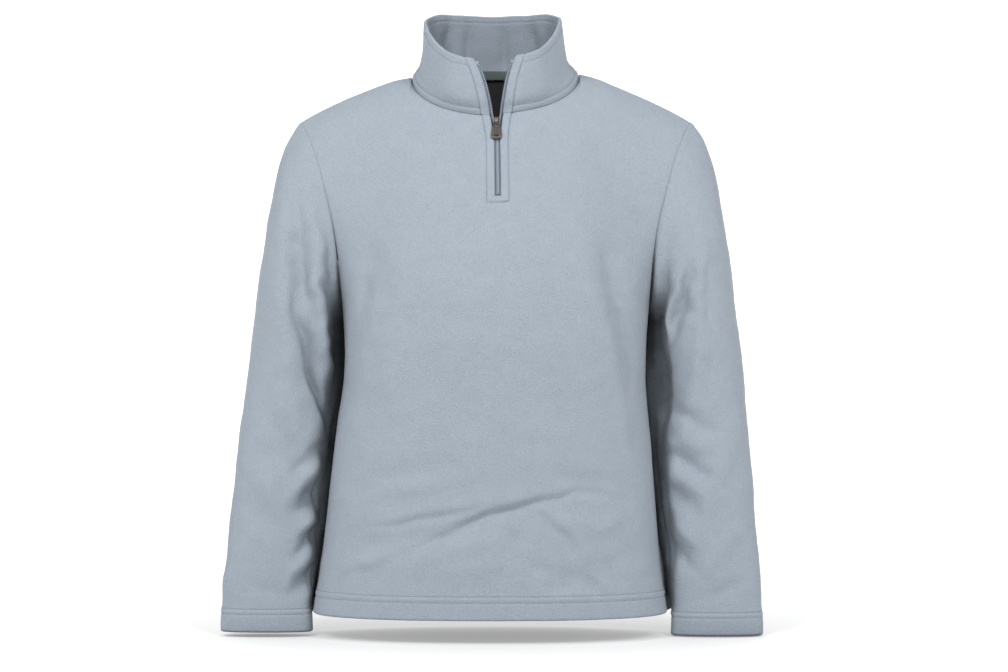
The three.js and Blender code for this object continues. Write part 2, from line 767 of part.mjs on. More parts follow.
/** The frame of a place on the zip's middle line: x across, y up the slope, z out. */
function zipFrame(z) {
  const p = yokeBase("front", SLOT_U, yokeShare(z));
  const q = yokeBase("front", SLOT_U, yokeShare(z + 2));
  const up = V(0, q.y - p.y, q.z - p.z).normalize();
  const m = new THREE.Matrix4().makeBasis(V(1, 0, 0), up, V(1, 0, 0).cross(up));
  return m.setPosition(zipLine(z)[0], p.y, z);
}

const flatShape = (points) => new THREE.Shape(points.map(([x, y]) => new THREE.Vector2(x, y)));
const slab = (shape, from, depth) =>
  new THREE.ExtrudeGeometry(shape, { depth, bevelEnabled: false }).translate(0, 0, from);
const block = (w, h, d, x, y, z) => new THREE.BoxGeometry(w, h, d).translate(x, y, z);

const sliderFrame = zipFrame(SLIDER.z);

async function sliderPiece() {
  const h = SLIDER.long / 2;
  const outline = flatShape([
    [-SLIDER.halfFoot + 1, -h],
    [SLIDER.halfFoot - 1, -h],
    [SLIDER.halfFoot, -h + 1.2],
    [SLIDER.halfFoot, -1],
    [SLIDER.halfTop, 2],
    [SLIDER.halfTop, h - 1.6],
    [SLIDER.halfTop - 1.4, h],
    [-SLIDER.halfTop + 1.4, h],
    [-SLIDER.halfTop, h - 1.6],
    [-SLIDER.halfTop, 2],
    [-SLIDER.halfFoot, -1],
    [-SLIDER.halfFoot, -h + 1.2],
  ]);
  const front = slab(outline, SLIDER.faceTop - SLIDER.plate, SLIDER.plate);
  const rear = slab(outline, SLIDER.backTop - SLIDER.backPlate, SLIDER.backPlate);
  const [low, high] = [SLIDER.backTop - 0.5, SLIDER.faceTop - 0.5];
  const post = block(1.6, 2.7, high - low, 0, h - 1.75, (high + low) / 2);
  const { from, to, foot, top, wall: t, wide, sunk } = BRIDGE;
  const arch = flatShape([
    [from, -sunk],
    [from, top - 0.9],
    [from + 0.9, top],
    [to - 1.6, top],
    [to, top - 1.8],
    [to, -sunk],
    [to - foot - 0.6, -sunk],
    [to - foot - 0.6, top - t - 0.9],
    [to - foot - 1.3, top - t],
    [from + foot + 0.1, top - t],
    [from + foot, -sunk],
  ]);
  const turned = new THREE.Matrix4().makeBasis(V(0, 1, 0), V(0, 0, 1), V(1, 0, 0));
  const bridge = slab(arch, -wide / 2, wide).applyMatrix4(turned).translate(0, 0, SLIDER.faceTop);
  const joined = await union([front, rear, post, bridge]);
  return joined.applyMatrix4(sliderFrame);
}

function pullPiece() {
  const leftEdge = PULL_SIDE.map(([d, w]) => [-w, -d]);
  const rightEdge = [...PULL_SIDE].reverse().slice(1).map(([d, w]) => [w, -d]);
  const shape = flatShape([...leftEdge, ...rightEdge]);
  const { windowHalf: w, windowEnd: e, windowCorner: k, bar, slotEnd } = PULL;
  const window = [[-w, -bar], [w, -bar], [w, k - e], [w - k, -e], [k - w, -e], [-w, k - e]];
  const slot = range(12).map((i) => {
    const turn = ((i + 0.5) / 12) * 2 * Math.PI;
    const end = Math.sign(Math.cos(turn)) * (PULL.slotHalf - slotEnd);
    return [end + slotEnd * Math.cos(turn), -PULL.slotAt + slotEnd * Math.sin(turn)];
  });
  for (const hole of [window, slot]) {
    shape.holes.push(new THREE.Path(hole.map(([x, y]) => new THREE.Vector2(x, y))));
  }
  const g = slab(shape, -PULL.thick / 2, PULL.thick);
  return g.translate(0, PIVOT.up, SLIDER.faceTop + PIVOT.above).applyMatrix4(sliderFrame);
}

/** The metal stop above the coil's last turn. */
function topStop(side) {
  const s = zip[side].at(-1);
  const below = zip[side].at(-2);
  const up = s.p.clone().sub(below.p).normalize();
  const m = new THREE.Matrix4().makeBasis(s.across, up, s.across.clone().cross(up));
  const centre = s.p.clone().addScaledVector(s.across, s.reach - COIL.wide / 2);
  centre.addScaledVector(s.inward, COIL.top + COIL.thick / 2);
  const { wider, long, thicker } = TOP_STOP;
  const g = block(COIL.wide + wider, long, COIL.thick + thicker, 0, 0, 0);
  return g.applyMatrix4(m.setPosition(centre));
}

/** The stop across both coils at the foot of the zip. */
function bottomStop() {
  const foot = YOKE_ROWS[SLOT_ROW - BODY_ROWS.length];
  const { wide, long, thick, above } = BOTTOM_STOP;
  return block(wide, long, thick, 0, above, -COIL.top - COIL.thick / 2).applyMatrix4(zipFrame(foot));
}

/** Joins solids with manifold-3d. */
async function union(parts) {
  const wasm = await Module();
  wasm.setup();
  const solids = parts.map((g) => {
    const plain = g.index ? g.toNonIndexed() : g;
    const mesh = new wasm.Mesh({
      numProp: 3,
      vertProperties: new Float32Array(plain.attributes.position.array),
      triVerts: Uint32Array.from(range(plain.attributes.position.count)),
    });
    mesh.merge();
    return new wasm.Manifold(mesh);
  });
  const made = wasm.Manifold.union(solids).getMesh();
  const g = new THREE.BufferGeometry();
  g.setAttribute("position", new THREE.BufferAttribute(made.vertProperties, 3));
  g.setIndex([...made.triVerts]);
  return g.toNonIndexed();
}

// ---------------------------------------------------------------- the object
const finish = (name, color, roughness, metalness = 0) =>
  new THREE.MeshStandardMaterial({ name, color, roughness, metalness });
const pieces = [
  ["front", bodyPanel(frontNet, { keep: slotOpen }), finish("fleece_front", "#a9b6c1", 0.95)],
  ["back", bodyPanel(backNet), finish("fleece_back", "#a9b6c1", 0.95)],
  ["sleeve_right", sleevePiece("right"), finish("fleece_sleeve_right", "#a9b6c1", 0.95)],
  ["sleeve_left", sleevePiece("left"), finish("fleece_sleeve_left", "#a9b6c1", 0.95)],
  ["collar", collarPiece(), finish("fleece_collar", "#a9b6c1", 0.95)],
  ["neck_tape", neckTape(), finish("neck_tape_weave", "#6f7a7b", 0.9)],
  ["zip_tape_right", zipTape("right"), finish("zip_tape_weave_right", "#4a5a70", 0.9)],
  ["zip_tape_left", zipTape("left"), finish("zip_tape_weave_left", "#4a5a70", 0.9)],
  ["zip_coil_right", zipCoil("right"), finish("zip_coil_right", "#93a3b5", 0.5)],
  ["zip_coil_left", zipCoil("left"), finish("zip_coil_left", "#93a3b5", 0.5)],
  ["zip_top_stop_right", topStop("right"), finish("top_stop_right", "#c9ced3", 0.35, 0.6)],
  ["zip_top_stop_left", topStop("left"), finish("top_stop_left", "#c9ced3", 0.35, 0.6)],
  ["zip_bottom_stop", bottomStop(), finish("bottom_stop", "#aab4bf", 0.4, 0.3)],
  ["zip_slider", await sliderPiece(), finish("slider_nickel", "#a5a5a1", 0.3, 0.9)],
  ["zip_pull", pullPiece(), finish("pull_gunmetal", "#8a8583", 0.35, 0.9)],
];

const pullover = new THREE.Group();
pullover.name = "fleece_pullover";
for (const [name, geometry, material] of pieces) {
  const mesh = new THREE.Mesh(geometry, material);
  mesh.name = name;
  pullover.add(mesh);
}
export default pullover;
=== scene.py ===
"""Looks of a fleece pullover with a stand collar and a short front zip, filled out with no wearer.

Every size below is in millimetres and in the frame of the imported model: +Z up, the front facing
-Y, +X the wearer's left, the origin in the middle of the neck base. Meshes are made in metres.
"""

from __future__ import annotations

import logging
import math
from dataclasses import dataclass, field, fields
from enum import Enum
from typing import Callable, Iterable, Sequence

import bmesh
import bpy
import numpy as np
from mathutils import Matrix, Vector


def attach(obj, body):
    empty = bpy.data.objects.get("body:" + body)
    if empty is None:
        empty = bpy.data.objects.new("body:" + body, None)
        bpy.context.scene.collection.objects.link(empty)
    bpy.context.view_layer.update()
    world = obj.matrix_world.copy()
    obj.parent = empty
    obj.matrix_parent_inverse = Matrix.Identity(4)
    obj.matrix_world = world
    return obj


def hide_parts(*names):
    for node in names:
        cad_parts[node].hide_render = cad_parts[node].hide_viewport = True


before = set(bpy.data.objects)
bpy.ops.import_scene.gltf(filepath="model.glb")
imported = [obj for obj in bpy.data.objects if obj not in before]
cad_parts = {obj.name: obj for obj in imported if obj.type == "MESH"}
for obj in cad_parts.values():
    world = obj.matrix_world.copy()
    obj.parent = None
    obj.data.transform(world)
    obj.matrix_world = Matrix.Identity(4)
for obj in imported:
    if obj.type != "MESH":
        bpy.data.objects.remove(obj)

Array = np.ndarray
LOG = logging.getLogger("pullover")
MM = 0.001  # metres in a millimetre
FAR, TINY = 1e9, 1e-9  # farther and nearer than anything
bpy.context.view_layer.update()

# ------------------------------------------------------------------ driving dimensions
FLEECE = 2.4  # one layer of fleece
TURN_UP = 4.6  # hem and cuffs, folded back and sewn
COLLAR_WALL = 5.0  # two layers
UNDERARM_Z = -288.0
HEM_Z = -680.0
CHEST_HALF = 196.0
SHOULDER_HALF = 250.0
SHOULDER_TIP_Z = -55.5
SHOULDER_SEAM_Y = (-3.0, -1.0)  # at the neck, at the tip
NECK_HALF = 107.0
NECK_FRONT = (-78.0, -53.0)  # y, z of the neckline at the centre front
NECK_BACK = (45.0, 3.0)
NECK_POINT_Z = 1.0
NECK_TILT = 2.0
NECK_SHARE = 0.52  # the part of a panel's top edge that is neckline
SQUARENESS = 0.87
SLOT_U = 0.02  # where the zip's edges lie across the front
SLOT_FOOT_Z = -157.4
ZIP_EDGE_REACH = 45.0
COLLAR_ZIP_TOP = 0.95  # share of the collar's height that the zip reaches

BESIDE = 1.6  # between a sleeve and the body beside it
MOST_IN_ABOVE, MOST_IN = 17.0, 23.0  # the most that a sleeve is drawn in, near the armpit and below
CUFF_Z = -708.0
BACK_FULL = 16.0  # how far the corners of the back's hem are filled out
HEM_LINES = (20.0, 28.0)  # the two rows of stitching, above the edge
CUFF_LINES = (21.0, 28.0)
PLACKET = 9.65  # from the zip's edge to its row of stitching
PLACKET_FOOT_Z = -165.3
COLLAR_BASE_LINE = 9.0  # above the neck seam
COLLAR_TOP_LINE = 8.4  # below the collar's top edge
COLLAR_INNER_LINE = 7.0  # below the top edge on the inside

COARSE = 3.6  # spacing of the cloth's points where it is plain
FINE = 1.25  # and beside its seams, hems and stitching
FINE_AT_HEM = 31.0  # how far the fine spacing reaches from a hem or a cuff
FINE_AT_ZIP = 14.0
FINE_AT_NECK = 9.0
FINE_AT_SEAM = 4.0
SLEEVE_SAMPLES = 3000  # along a sleeve, to measure it
GROWTH = 1.16  # the most that one spacing exceeds the last, as a share
RIM_STEPS = 4  # faces across a rounded rim
WAVES = 26  # summed for an uneven surface
YOKE_LONG = 268.0  # up the middle of the front, from the underarm to the neckline
SLOT_COLUMNS = 4  # cells between the zip's two edges, below its foot
SEAM_DEPTH = 1.1  # how far the cloth dips into a seam
SEAM_WIDE = 2.8
STITCH_RISE = (-0.35, 0.12, 0.26, 0.12, -0.35)  # along one stitch: sunk at its ends
STITCH_ROUND = (0.55, 1, 1.05, 1, 0.55)  # and thin there
NAP_LUMPS = 0.1  # how far the brushed face rises and falls

NECK_TAPE = (0.004, 0.12)  # shares of the collar's height
NECK_TAPE_POINTS = 9
# a near-black sheet inside the back, painted shade for the garment's dark inside
SHADE_SHEET_WIDE, SHADE_SHEET_LONG = 62.0, 56.0
SHADE_SHEET_BELOW = 1.5  # under the neck seam
SHADE_SHEET_POINTS = 24
TAPE_THICK = 0.8
TAPE_DOWN = 2.8  # the zip's tape lies this far below the fleece's face
TAPE_UNDER = 8.0  # how far it runs on below the fleece
TAPE_START = 0.5  # on the collar it starts this far in from the fleece's edge
COIL_WIDE, COIL_THICK, COIL_DOWN = 3.2, 1.6, 0.6
COIL_PITCH = 3.4
COIL_STEP = 0.1  # between the places on its middle line
TURN_POINTS = 16  # round each of its turns
FILAMENT = 0.42
CORD = 0.4  # radius of the cord inside the coil
CORDS_AT = (-0.45, 0.35)  # its strands, across from the coil's middle
THREADS_AT = (-0.75, -0.15)  # the rows that hold the coil down
LIP = 0.9  # how far the rounded edge of the fleece stands in from where it is sewn
SLIDER_Z = -63.7

BODY_ROWS = [
    # z, half width, depth in front, depth behind
    (-680, 226, 108, 98),
    (-640, 220, 110, 98),
    (-600, 214.5, 112, 98),
    (-562, 211, 114, 99),
    (-524, 207.5, 116, 100),
    (-484, 203.5, 120, 102),
    (-440, 199, 124, 104),
    (-390, 193, 130, 108),
    (-345, 192.5, 136, 113),
    (UNDERARM_Z, CHEST_HALF, 140, 118),
]
ARMHOLE_FRONT = [
    # x, y, z from the underarm up to the shoulder tip
    (CHEST_HALF, 0, UNDERARM_Z),
    (196.5, -20, -274),
    (197.5, -38, -252),
    (200, -51, -222),
    (205.5, -57, -187),
    (214.5, -56, -149),
    (225, -48, -111),
    (237.5, -30, -78),
    (SHOULDER_HALF, SHOULDER_SEAM_Y[1], SHOULDER_TIP_Z),
]
ARMHOLE_BACK = [
    (CHEST_HALF, 0, UNDERARM_Z),
    (197.5, 22, -274),
    (201, 42, -246),
    (208, 55, -208),
    (217, 60, -166),
    (228, 55, -124),
    (239.5, 36, -84),
    (SHOULDER_HALF, SHOULDER_SEAM_Y[1], SHOULDER_TIP_Z),
]
SHOULDER_SEAM = [
    # x, z
    (NECK_HALF, NECK_POINT_Z),
    (130, -4),
    (150, -11),
    (171, -18.6),
    (192, -26.6),
    (220, -39.4),
    (SHOULDER_HALF, SHOULDER_TIP_Z),
]
SLEEVE_RINGS = [
    # outer x, outer z, inner x, inner z, half depth, middle y
    (250, -55.5, 196, -288, 58, 1),
    (265.5, -79, 196.5, -291, 61, 1),
    (275.5, -105, 197, -294, 64, 2),
    (283, -132, 197.3, -297.5, 66.5, 4),
    (289, -165, 197.8, -302, 68.5, 6),
    (295, -200, 198.4, -308, 70, 8),
    (300.5, -238, 199, -317, 70, 10),
    (306, -276, 200, -331, 69, 12),
    (310.5, -315, 201, -350, 67, 14),
    (315.5, -355, 202, -375, 64, 15),
    (320, -395, 203, -405, 60, 15),
    (324.5, -437, 204.5, -440, 55, 13),
    (329, -480, 208.5, -481, 49, 10),
    (333, -523, 214, -523, 44, 6),
    (336.5, -566, 220.5, -566, 38, 3),
    (340, -608, 225.5, -608, 32, 0),
    (343.5, -648, 228.5, -648, 27, -3),
    (345, -679, 230, -679, 23, -4),
    (345.2, -683, 230, -683, 22.5, -4),
    (345.5, -690, 230, -690, 22, -5),
    (346, -702, 229.7, -702, 21, -5),
    (346, -710, 229.3, -710, 20.3, -5),
]
COLLAR_RIM = [
    # x, y, z of the top edge on the wearer's left, from the zip to the centre back
    (28, -92, 15),
    (43, -92, 17.5),
    (59, -84, 24.5),
    (70, -72, 34),
    (79, -56, 47),
    (85, -37, 60.5),
    (88, -15, 71),
    (83, 12, 78.5),
    (70, 32, 84),
    (40, 44, 84),
    (0, 47, 82.5),
]
COLLAR_RISE = [
    # share of its height, share of its way in or out, share of its way aside at the zip
    (0, 0, 0),
    (0.12, 0.2, 0.05),
    (0.24, 0.5, 0.13),
    (0.42, 0.68, 0.26),
    (0.66, 0.84, 0.48),
    (0.88, 0.95, 0.78),
    (1, 1, 1),
]
LEAN = [
    # z, x: the garment hangs a little to one side
    (-720, -4.7),
    (-620, -4),
    (-550, -3),
    (-450, -1.5),
    (-350, 0),
    (0, 0),
    (40, -2.5),
    (85, -3.3),
]
BODY_LEAN = [(-680, -2), (-440, -1.5), (-350, 0)]  # z, x added for the body alone
ZIP_LINE = [
    # z, x of the middle, half the opening, how far the coil reaches in from the fleece
    (-165, 3, 4.05, 3.9),
    (-108, 2.4, 4.05, 3.9),
    (-84, 2, 4.1, 3.95),
    (-76, 1.8, 5.1, 4.95),
    (-70, 1.6, 5.85, 5.6),
    (-62, 1.4, 7.2, 4.9),
    (-57.5, 1.2, 7.9, 4.7),
    (-52, 1, 9.6, 5),
    (30, 0, 28, 5),
]

BRIDGE = [
    # along the zip, out from the slider's face, width
    (5.3, 0.3, 4.9),
    (5.5, 2.4, 4.9),
    (4.3, 3.5, 4.5),
    (1.0, 3.75, 3.3),
    (-2.6, 3.3, 2.2),
    (-4.1, 2.2, 1.8),
    (-4.3, 0.3, 1.7),
]
BRIDGE_THICK = 0.85
PLATE_WIDTHS = [(-0.5, 0.72), (-0.25, 0.87), (0.5, 0.66)]  # share of its length up, share of its width
PLATE_THICK = (1.3, 1.1)  # the front plate, the rear plate
POST = (1.6, 2.7)  # width and length of what joins them
PULL_OUTLINE = [
    # down from the line that the tab turns on, half width
    (-0.35, 3.1),
    (1.0, 3.6),
    (5.4, 3.9),
    (7.4, 5.6),
    (9.5, 5.9),
    (13, 6),
    (17, 6.7),
    (20.3, 7.3),
    (22.3, 6.4),
    (23.6, 4.2),
    (24.1, 2.2),
]
PULL_THICK = 1.2
PULL_WINDOW = (4.7, 6.75, -3.925)  # width, length, middle
PULL_SLOT = (5.4, 2.0, -19.0)
LIGHTS = [
    # name, place, what it shines at, size, watts
    ("key", (-1500, -2500, 2050), (0, 0, -380), 1000, 86),
    ("fill", (1450, -2500, 1950), (0, 0, -380), 1000, 72),
    ("top", (0, -100, 2300), (0, 0, -200), 1600, 3),
    ("left", (-2600, -150, 300), (0, 0, -350), 1200, 9),
    ("right", (2600, -150, 300), (0, 0, -350), 1200, 8),
]


class Face(Enum):
    """Which way a panel faces."""

    FRONT = -1
    BACK = 1


class Side(Enum):
    """The wearer's side, as the sign of X."""

    RIGHT = -1
    LEFT = 1

    @property
    def word(self) -> str:
        """The side in small letters, as the names of pieces use it."""
        return self.name.lower()


CUFF_LIFT = {Side.RIGHT: 5.5, Side.LEFT: 1.0}


@dataclass(frozen=True)
class Fold:
    """A soft trough, or a ridge where its depth is positive, seen square on.

    Attributes:
        piece: the cloth piece it lies on, "body" or a sleeve's name
        face: the side it shows on
        path: x, z of two or more places along it
        half_width: how far from its line it has faded to a third
        depth: how far its line is moved outwards
    """

    piece: str
    face: Face
    path: tuple[tuple[float, float], ...]
    half_width: float
    depth: float


def folds(piece: str, face: Face, *rows: tuple) -> list[Fold]:
    """Folds of one side of a piece, from rows of half width, depth and the places along each."""
    return [Fold(piece, face, row[2:], row[0], row[1]) for row in rows]


# The garment's large folds, which its solids have too: half width, depth, then x, z along each.
BROAD_FOLDS = [
    *folds("body", Face.FRONT,
           (15, -4.5, (-148, -225), (-172, -360)),
           (18, 3, (-118, -235), (-140, -400)),
           (15, -4.5, (138, -215), (166, -400)),
           (18, 3, (108, -230), (132, -400)),
           (13, -2.5, (-165, -590), (70, -548)),
           (15, 2, (-150, -560), (90, -520)),
           (13, -2.5, (80, -640), (190, -600))),
    *folds("body", Face.BACK,
           (22, -5, (-90, -560), (60, -400)),
           (22, 4, (100, -330), (20, -500)),
           (20, 3.5, (-120, -300), (-60, -420))),
    *folds("sleeve_right", Face.FRONT,
           (13, -5, (-252, -232), (-215, -438)),
           (15, 3, (-285, -250), (-262, -440)),
           (12, -4, (-262, -460), (-215, -560)),
           (14, 3, (-300, -500), (-236, -610))),
    *folds("sleeve_left", Face.FRONT,
           (13, -5, (222, -270), (226, -460)),
           (14, 3, (262, -330), (238, -470)),
           (12, -4, (250, -452), (215, -590)),
           (14, 3, (290, -480), (250, -600))),
    *folds("sleeve_right", Face.BACK,
           (14, -5, (-300, -400), (-235, -470))),
    *folds("sleeve_left", Face.BACK,
           (14, -5, (300, -400), (235, -470))),
]
# Finer creases, laid on the same form, in the same columns.
CREASES = [
    *folds("body", Face.FRONT,
           (5, -6, (-120, -603), (-89, -588), (-48, -570), (-4, -554), (40, -540), (72, -531), (114, -525),
            (162, -536)),
           (5, -4.2, (-160, -566), (-133, -566), (-93, -556), (-45, -548), (-10, -541)),
           (5.5, -4.4, (48, -544), (74, -564), (93, -588), (98, -614)),
           (8, 3, (62, -548), (88, -566), (108, -592)),
           (8, -2.4, (8, -568), (40, -588)),
           (6, -2.4, (48, -638), (94, -643)),
           (6.5, -4.5, (104, -626), (136, -654)),
           (6.6, 4, (-196, -622), (-150, -608), (-118, -598)),
           (10, 2.2, (-130, -626), (-60, -598), (20, -578)),
           (9.9, 5.6, (-141, -234), (-152, -304), (-161, -352), (-175, -420)),
           (7.7, -4, (-155, -245), (-161, -275), (-168, -310)),
           (9.9, 5.6, (114, -250), (136, -315), (152, -382), (160, -430), (172, -476)),
           (8.8, -5.6, (131, -223), (146, -263), (157, -304), (167, -345), (164, -412)),
           (7.7, -3.5, (-196, -240), (-186, -300), (-178, -340)),
           (9.9, 2.8, (-170, -540), (-120, -522), (-60, -505)),
           (11, -2.4, (-150, -512), (-90, -494), (-30, -486)),
           (11, -2.8, (60, -500), (110, -512), (160, -508)),
           (8.8, 2.8, (90, -560), (130, -566), (170, -556)),
           (8.8, -2.8, (30, -600), (60, -622), (100, -628)),
           (11, 2.4, (-90, -630), (-30, -618), (20, -610))),
    *folds("body", Face.BACK,
           (12, -5.8, (-150, -250), (-165, -340), (-172, -430)),
           (12, -5.2, (148, -240), (160, -330), (172, -420)),
           (8, -3.8, (-112, -560), (-30, -590), (60, -584), (140, -560)),
           (7, -2.8, (-60, -520), (20, -540), (110, -522)),
           (16, 2.3, (-150, -120), (-60, -150), (40, -150), (140, -118))),
    *folds("sleeve_right", Face.FRONT,
           (10, 4.3, (-270, -147), (-266, -268), (-257, -379), (-249, -460)),
           (8, -9, (-250, -150), (-246, -232), (-241, -268), (-226, -305)),
           (8, 8, (-226, -160), (-222, -246), (-221, -312), (-208, -380)),
           (6, -15, (-252, -284), (-241, -330), (-229, -380), (-216, -428), (-206, -458)),
           (12, -9, (-216, -150), (-204, -290), (-202, -400), (-212, -520), (-222, -660)),
           (7, 6, (-222, -300), (-213, -350), (-205, -400)),
           (9, -7, (-208, -480), (-214, -560), (-222, -640)),
           (9, -7, (-206, -462), (-228, -480), (-258, -505)),
           (11, -13, (-206, -510), (-232, -534), (-260, -560)),
           (8, -8, (-213, -571), (-236, -592), (-257, -612)),
           (10, -10, (-216, -612), (-234, -632), (-260, -664)),
           (8, 3, (-222, -492), (-240, -514), (-262, -540)),
           (7, 2.5, (-222, -550), (-240, -570), (-260, -588)),
           (8, 3, (-228, -600), (-244, -620), (-264, -648)),
           (12, 2.5, (-330, -560), (-300, -580), (-262, -630)),
           (13, 2.4, (-318, -470), (-290, -520), (-272, -560)),
           (11, -2.6, (-310, -400), (-282, -440), (-246, -470)),
           (9, -2.2, (-322, -640), (-290, -655), (-262, -668))),
    *folds("sleeve_left", Face.FRONT,
           (12, -9, (220, -160), (206, -290), (202, -400), (210, -520), (222, -660)),
           (18, -14, (199, -330), (206, -400), (215, -462)),
           (9, 6.5, (259, -190), (257, -330), (252, -412)),
           (6.5, -4.6, (266, -240), (262, -300), (259, -345)),
           (7, -12, (245, -238), (232, -294), (222, -330), (212, -350)),
           (8, -8.7, (214, -236), (206, -285), (202, -345)),
           (6, 4.1, (230, -262), (220, -310), (212, -350)),
           (10, -8, (208, -474), (236, -490), (276, -510)),
           (8, -6, (212, -424), (246, -435), (282, -454)),
           (8, 3, (226, -455), (246, -462), (276, -478)),
           (10, -7, (210, -520), (232, -534), (256, -560)),
           (8, 3, (226, -506), (244, -516), (270, -532)),
           (11, -7, (212, -584), (230, -604), (256, -634)),
           (8, 3, (226, -566), (238, -578), (258, -598)),
           (12, 2.4, (328, -560), (296, -588), (262, -634)),
           (13, 2.4, (316, -430), (292, -470), (282, -520)),
           (9, -2.2, (322, -640), (290, -655), (256, -668))),
    *folds("sleeve_right", Face.BACK,
           (8, -6.4, (-306, -432), (-270, -446), (-232, -438)),
           (9, -5.2, (-312, -372), (-276, -392), (-236, -386)),
           (10, -4.3, (-268, -130), (-262, -230), (-244, -320)),
           (8, -4.1, (-318, -520), (-280, -540), (-244, -534))),
    *folds("sleeve_left", Face.BACK,
           (8, -6.4, (308, -440), (272, -452), (236, -442)),
           (9, -5.2, (314, -366), (276, -384), (238, -380)),
           (10, -4.3, (266, -136), (262, -240), (240, -330)),
           (8, -4.1, (320, -512), (284, -530), (246, -528))),
]
# Soft upright folds of the collar: share of the way round, half width, depth at mid height, slant.
COLLAR_FOLDS = [
    (0.380, 9.0, 8.0, 0.030),
    (0.439, 6.0, 4.6, 0.012),
    (0.530, 6.0, 4.2, 0.0),
    (0.606, 8.5, 7.0, -0.022),
    (0.270, 12.0, -2.6, 0.02),
    (0.735, 13.0, -2.8, -0.02),
]


# ------------------------------------------------------------------ arithmetic
def smooth(t: Array | float) -> Array:
    """A soft step from 0 to 1 as t goes from 0 to 1."""
    t = np.clip(t, 0.0, 1.0)
    return t * t * (3 - 2 * t)


def ramp(value: Array | float, start: float, end: float) -> Array:
    """A soft step from 0 where the value is start to 1 where it is end."""
    return smooth((value - start) / (end - start))


def bell(distance: Array, half_width: Array | float) -> Array:
    """1 on a line, fading to a third at the half width."""
    return np.exp(-((distance / half_width) ** 2))


def fading(distance: Array, reach: float) -> Array:
    """1 at an edge, fading to a third at the reach."""
    return np.exp(-np.maximum(distance, 0) / reach)


def lerp(a: Array | float, b: Array | float, t: Array | float) -> Array:
    """The value a share t of the way from a to b."""
    return a + (b - a) * t


def power(w: Array, p: float) -> Array:
    """A power that keeps its base's sign."""
    return np.sign(w) * np.abs(w) ** p


def hermite(a: Array, b: Array, from_a: Array, to_b: Array, t: Array) -> Array:
    """A cubic from a to b that leaves a and arrives at b at the given slopes."""
    t2, t3 = t * t, t * t * t
    ends = (2 * t3 - 3 * t2 + 1) * a + (3 * t2 - 2 * t3) * b
    return ends + (t3 - 2 * t2 + t) * from_a + (t3 - t2) * to_b


def unit(v: Array) -> Array:
    """Vectors made one long."""
    return v / np.maximum(np.linalg.norm(v, axis=-1, keepdims=True), TINY)


def point(x: Array, y: Array, z: Array) -> Array:
    """Three broadcast arrays as one array of points."""
    return np.stack(np.broadcast_arrays(x, y, z), axis=-1).astype(float)


def read_at(at: Array, run: Array, values: Array) -> Array:
    """Each column of values, known along a run, read at other places of it."""
    return np.stack([np.interp(at, run, column) for column in values.T], axis=-1)


def run_of(points: Array, axis: int = 0) -> Array:
    """Length run so far along an axis of a net of points."""
    steps = np.linalg.norm(np.diff(points, axis=axis), axis=-1)
    start = np.zeros_like(np.take(steps, [0], axis=axis))
    return np.cumsum(np.concatenate([start, steps], axis=axis), axis=axis)


def to_end(count: int) -> Array:
    """How many steps each of a row of points is from the nearer end of the row."""
    return np.minimum(np.arange(count), count - 1 - np.arange(count))


class Table:
    """Smooth reading of a table whose first column rises."""

    def __init__(self, rows: Sequence[Sequence[float]]) -> None:
        """Args: rows: the table, its first column rising."""
        data = np.array(rows, float)
        self.x, self.y = data[:, 0], data[:, 1:]
        n = np.arange(len(data))
        low, high = np.maximum(n - 1, 0), np.minimum(n + 1, len(data) - 1)
        self.slope = (self.y[high] - self.y[low]) / (self.x[high] - self.x[low])[:, None]

    def __call__(self, t: Array | float) -> Array:
        """The other columns at t, along a new last axis."""
        t = np.clip(np.asarray(t, float), self.x[0], self.x[-1])
        i = np.clip(np.searchsorted(self.x, t) - 1, 0, len(self.x) - 2)
        h = (self.x[i + 1] - self.x[i])[..., None]
        s = (t - self.x[i])[..., None] / h
        return hermite(self.y[i], self.y[i + 1], self.slope[i] * h, self.slope[i + 1] * h, s)


class Line:
    """A smooth line through points, read by share of its length."""

    def __init__(self, points: Sequence[Sequence[float]], each: int = 48) -> None:
        """Args: points: places it passes; each: samples between two of them."""
        p = np.array(points, float)
        p = np.vstack([2 * p[0] - p[1], p, 2 * p[-1] - p[-2]])
        made = []
        for a, b, c, d in zip(p[:-3], p[1:-2], p[2:-1], p[3:]):
            dt = [math.sqrt(np.linalg.norm(v)) for v in (b - a, c - b, d - c)]
            leave = (b - a) / dt[0] - (c - a) / (dt[0] + dt[1]) + (c - b) / dt[1]
            arrive = (c - b) / dt[1] - (d - b) / (dt[1] + dt[2]) + (d - c) / dt[2]
            t = np.linspace(0, 1, each, endpoint=False)[:, None]
            made.append(hermite(b, c, leave * dt[1], arrive * dt[1], t))
        self.points = np.vstack([*made, p[-2][None]])
        self.at = run_of(self.points)

    def __call__(self, share: Array | float) -> Array:
        """Points at shares of the length."""
        return read_at(np.clip(share, 0, 1) * self.at[-1], self.at, self.points)


def spaced(length: float, fine_start: float = 0.0, fine_end: float = 0.0) -> Array:
    """Shares of a length from 0 to 1, close together beside the ends that ask for it.

    Args:
        length: the whole, in millimetres
        fine_start: how far from the start the spacing is FINE
        fine_end: how far from the end it is
    """
    if not fine_start and not fine_end:
        return np.linspace(0, 1, max(2, round(length / COARSE)) + 1)
    reach = np.linspace(0, length, 4000)
    near = np.full_like(reach, FAR)
    if fine_start:
        near = np.minimum(near, np.maximum(0, reach - fine_start))
    if fine_end:
        near = np.minimum(near, np.maximum(0, length - fine_end - reach))
    step = np.minimum(COARSE, FINE + near * (GROWTH - 1))
    count = np.concatenate([[0], np.cumsum(np.diff(reach) / (step[1:] + step[:-1]) * 2)])
    n = max(2, round(count[-1]))
    return np.interp(np.linspace(0, count[-1], n + 1), count, reach) / length


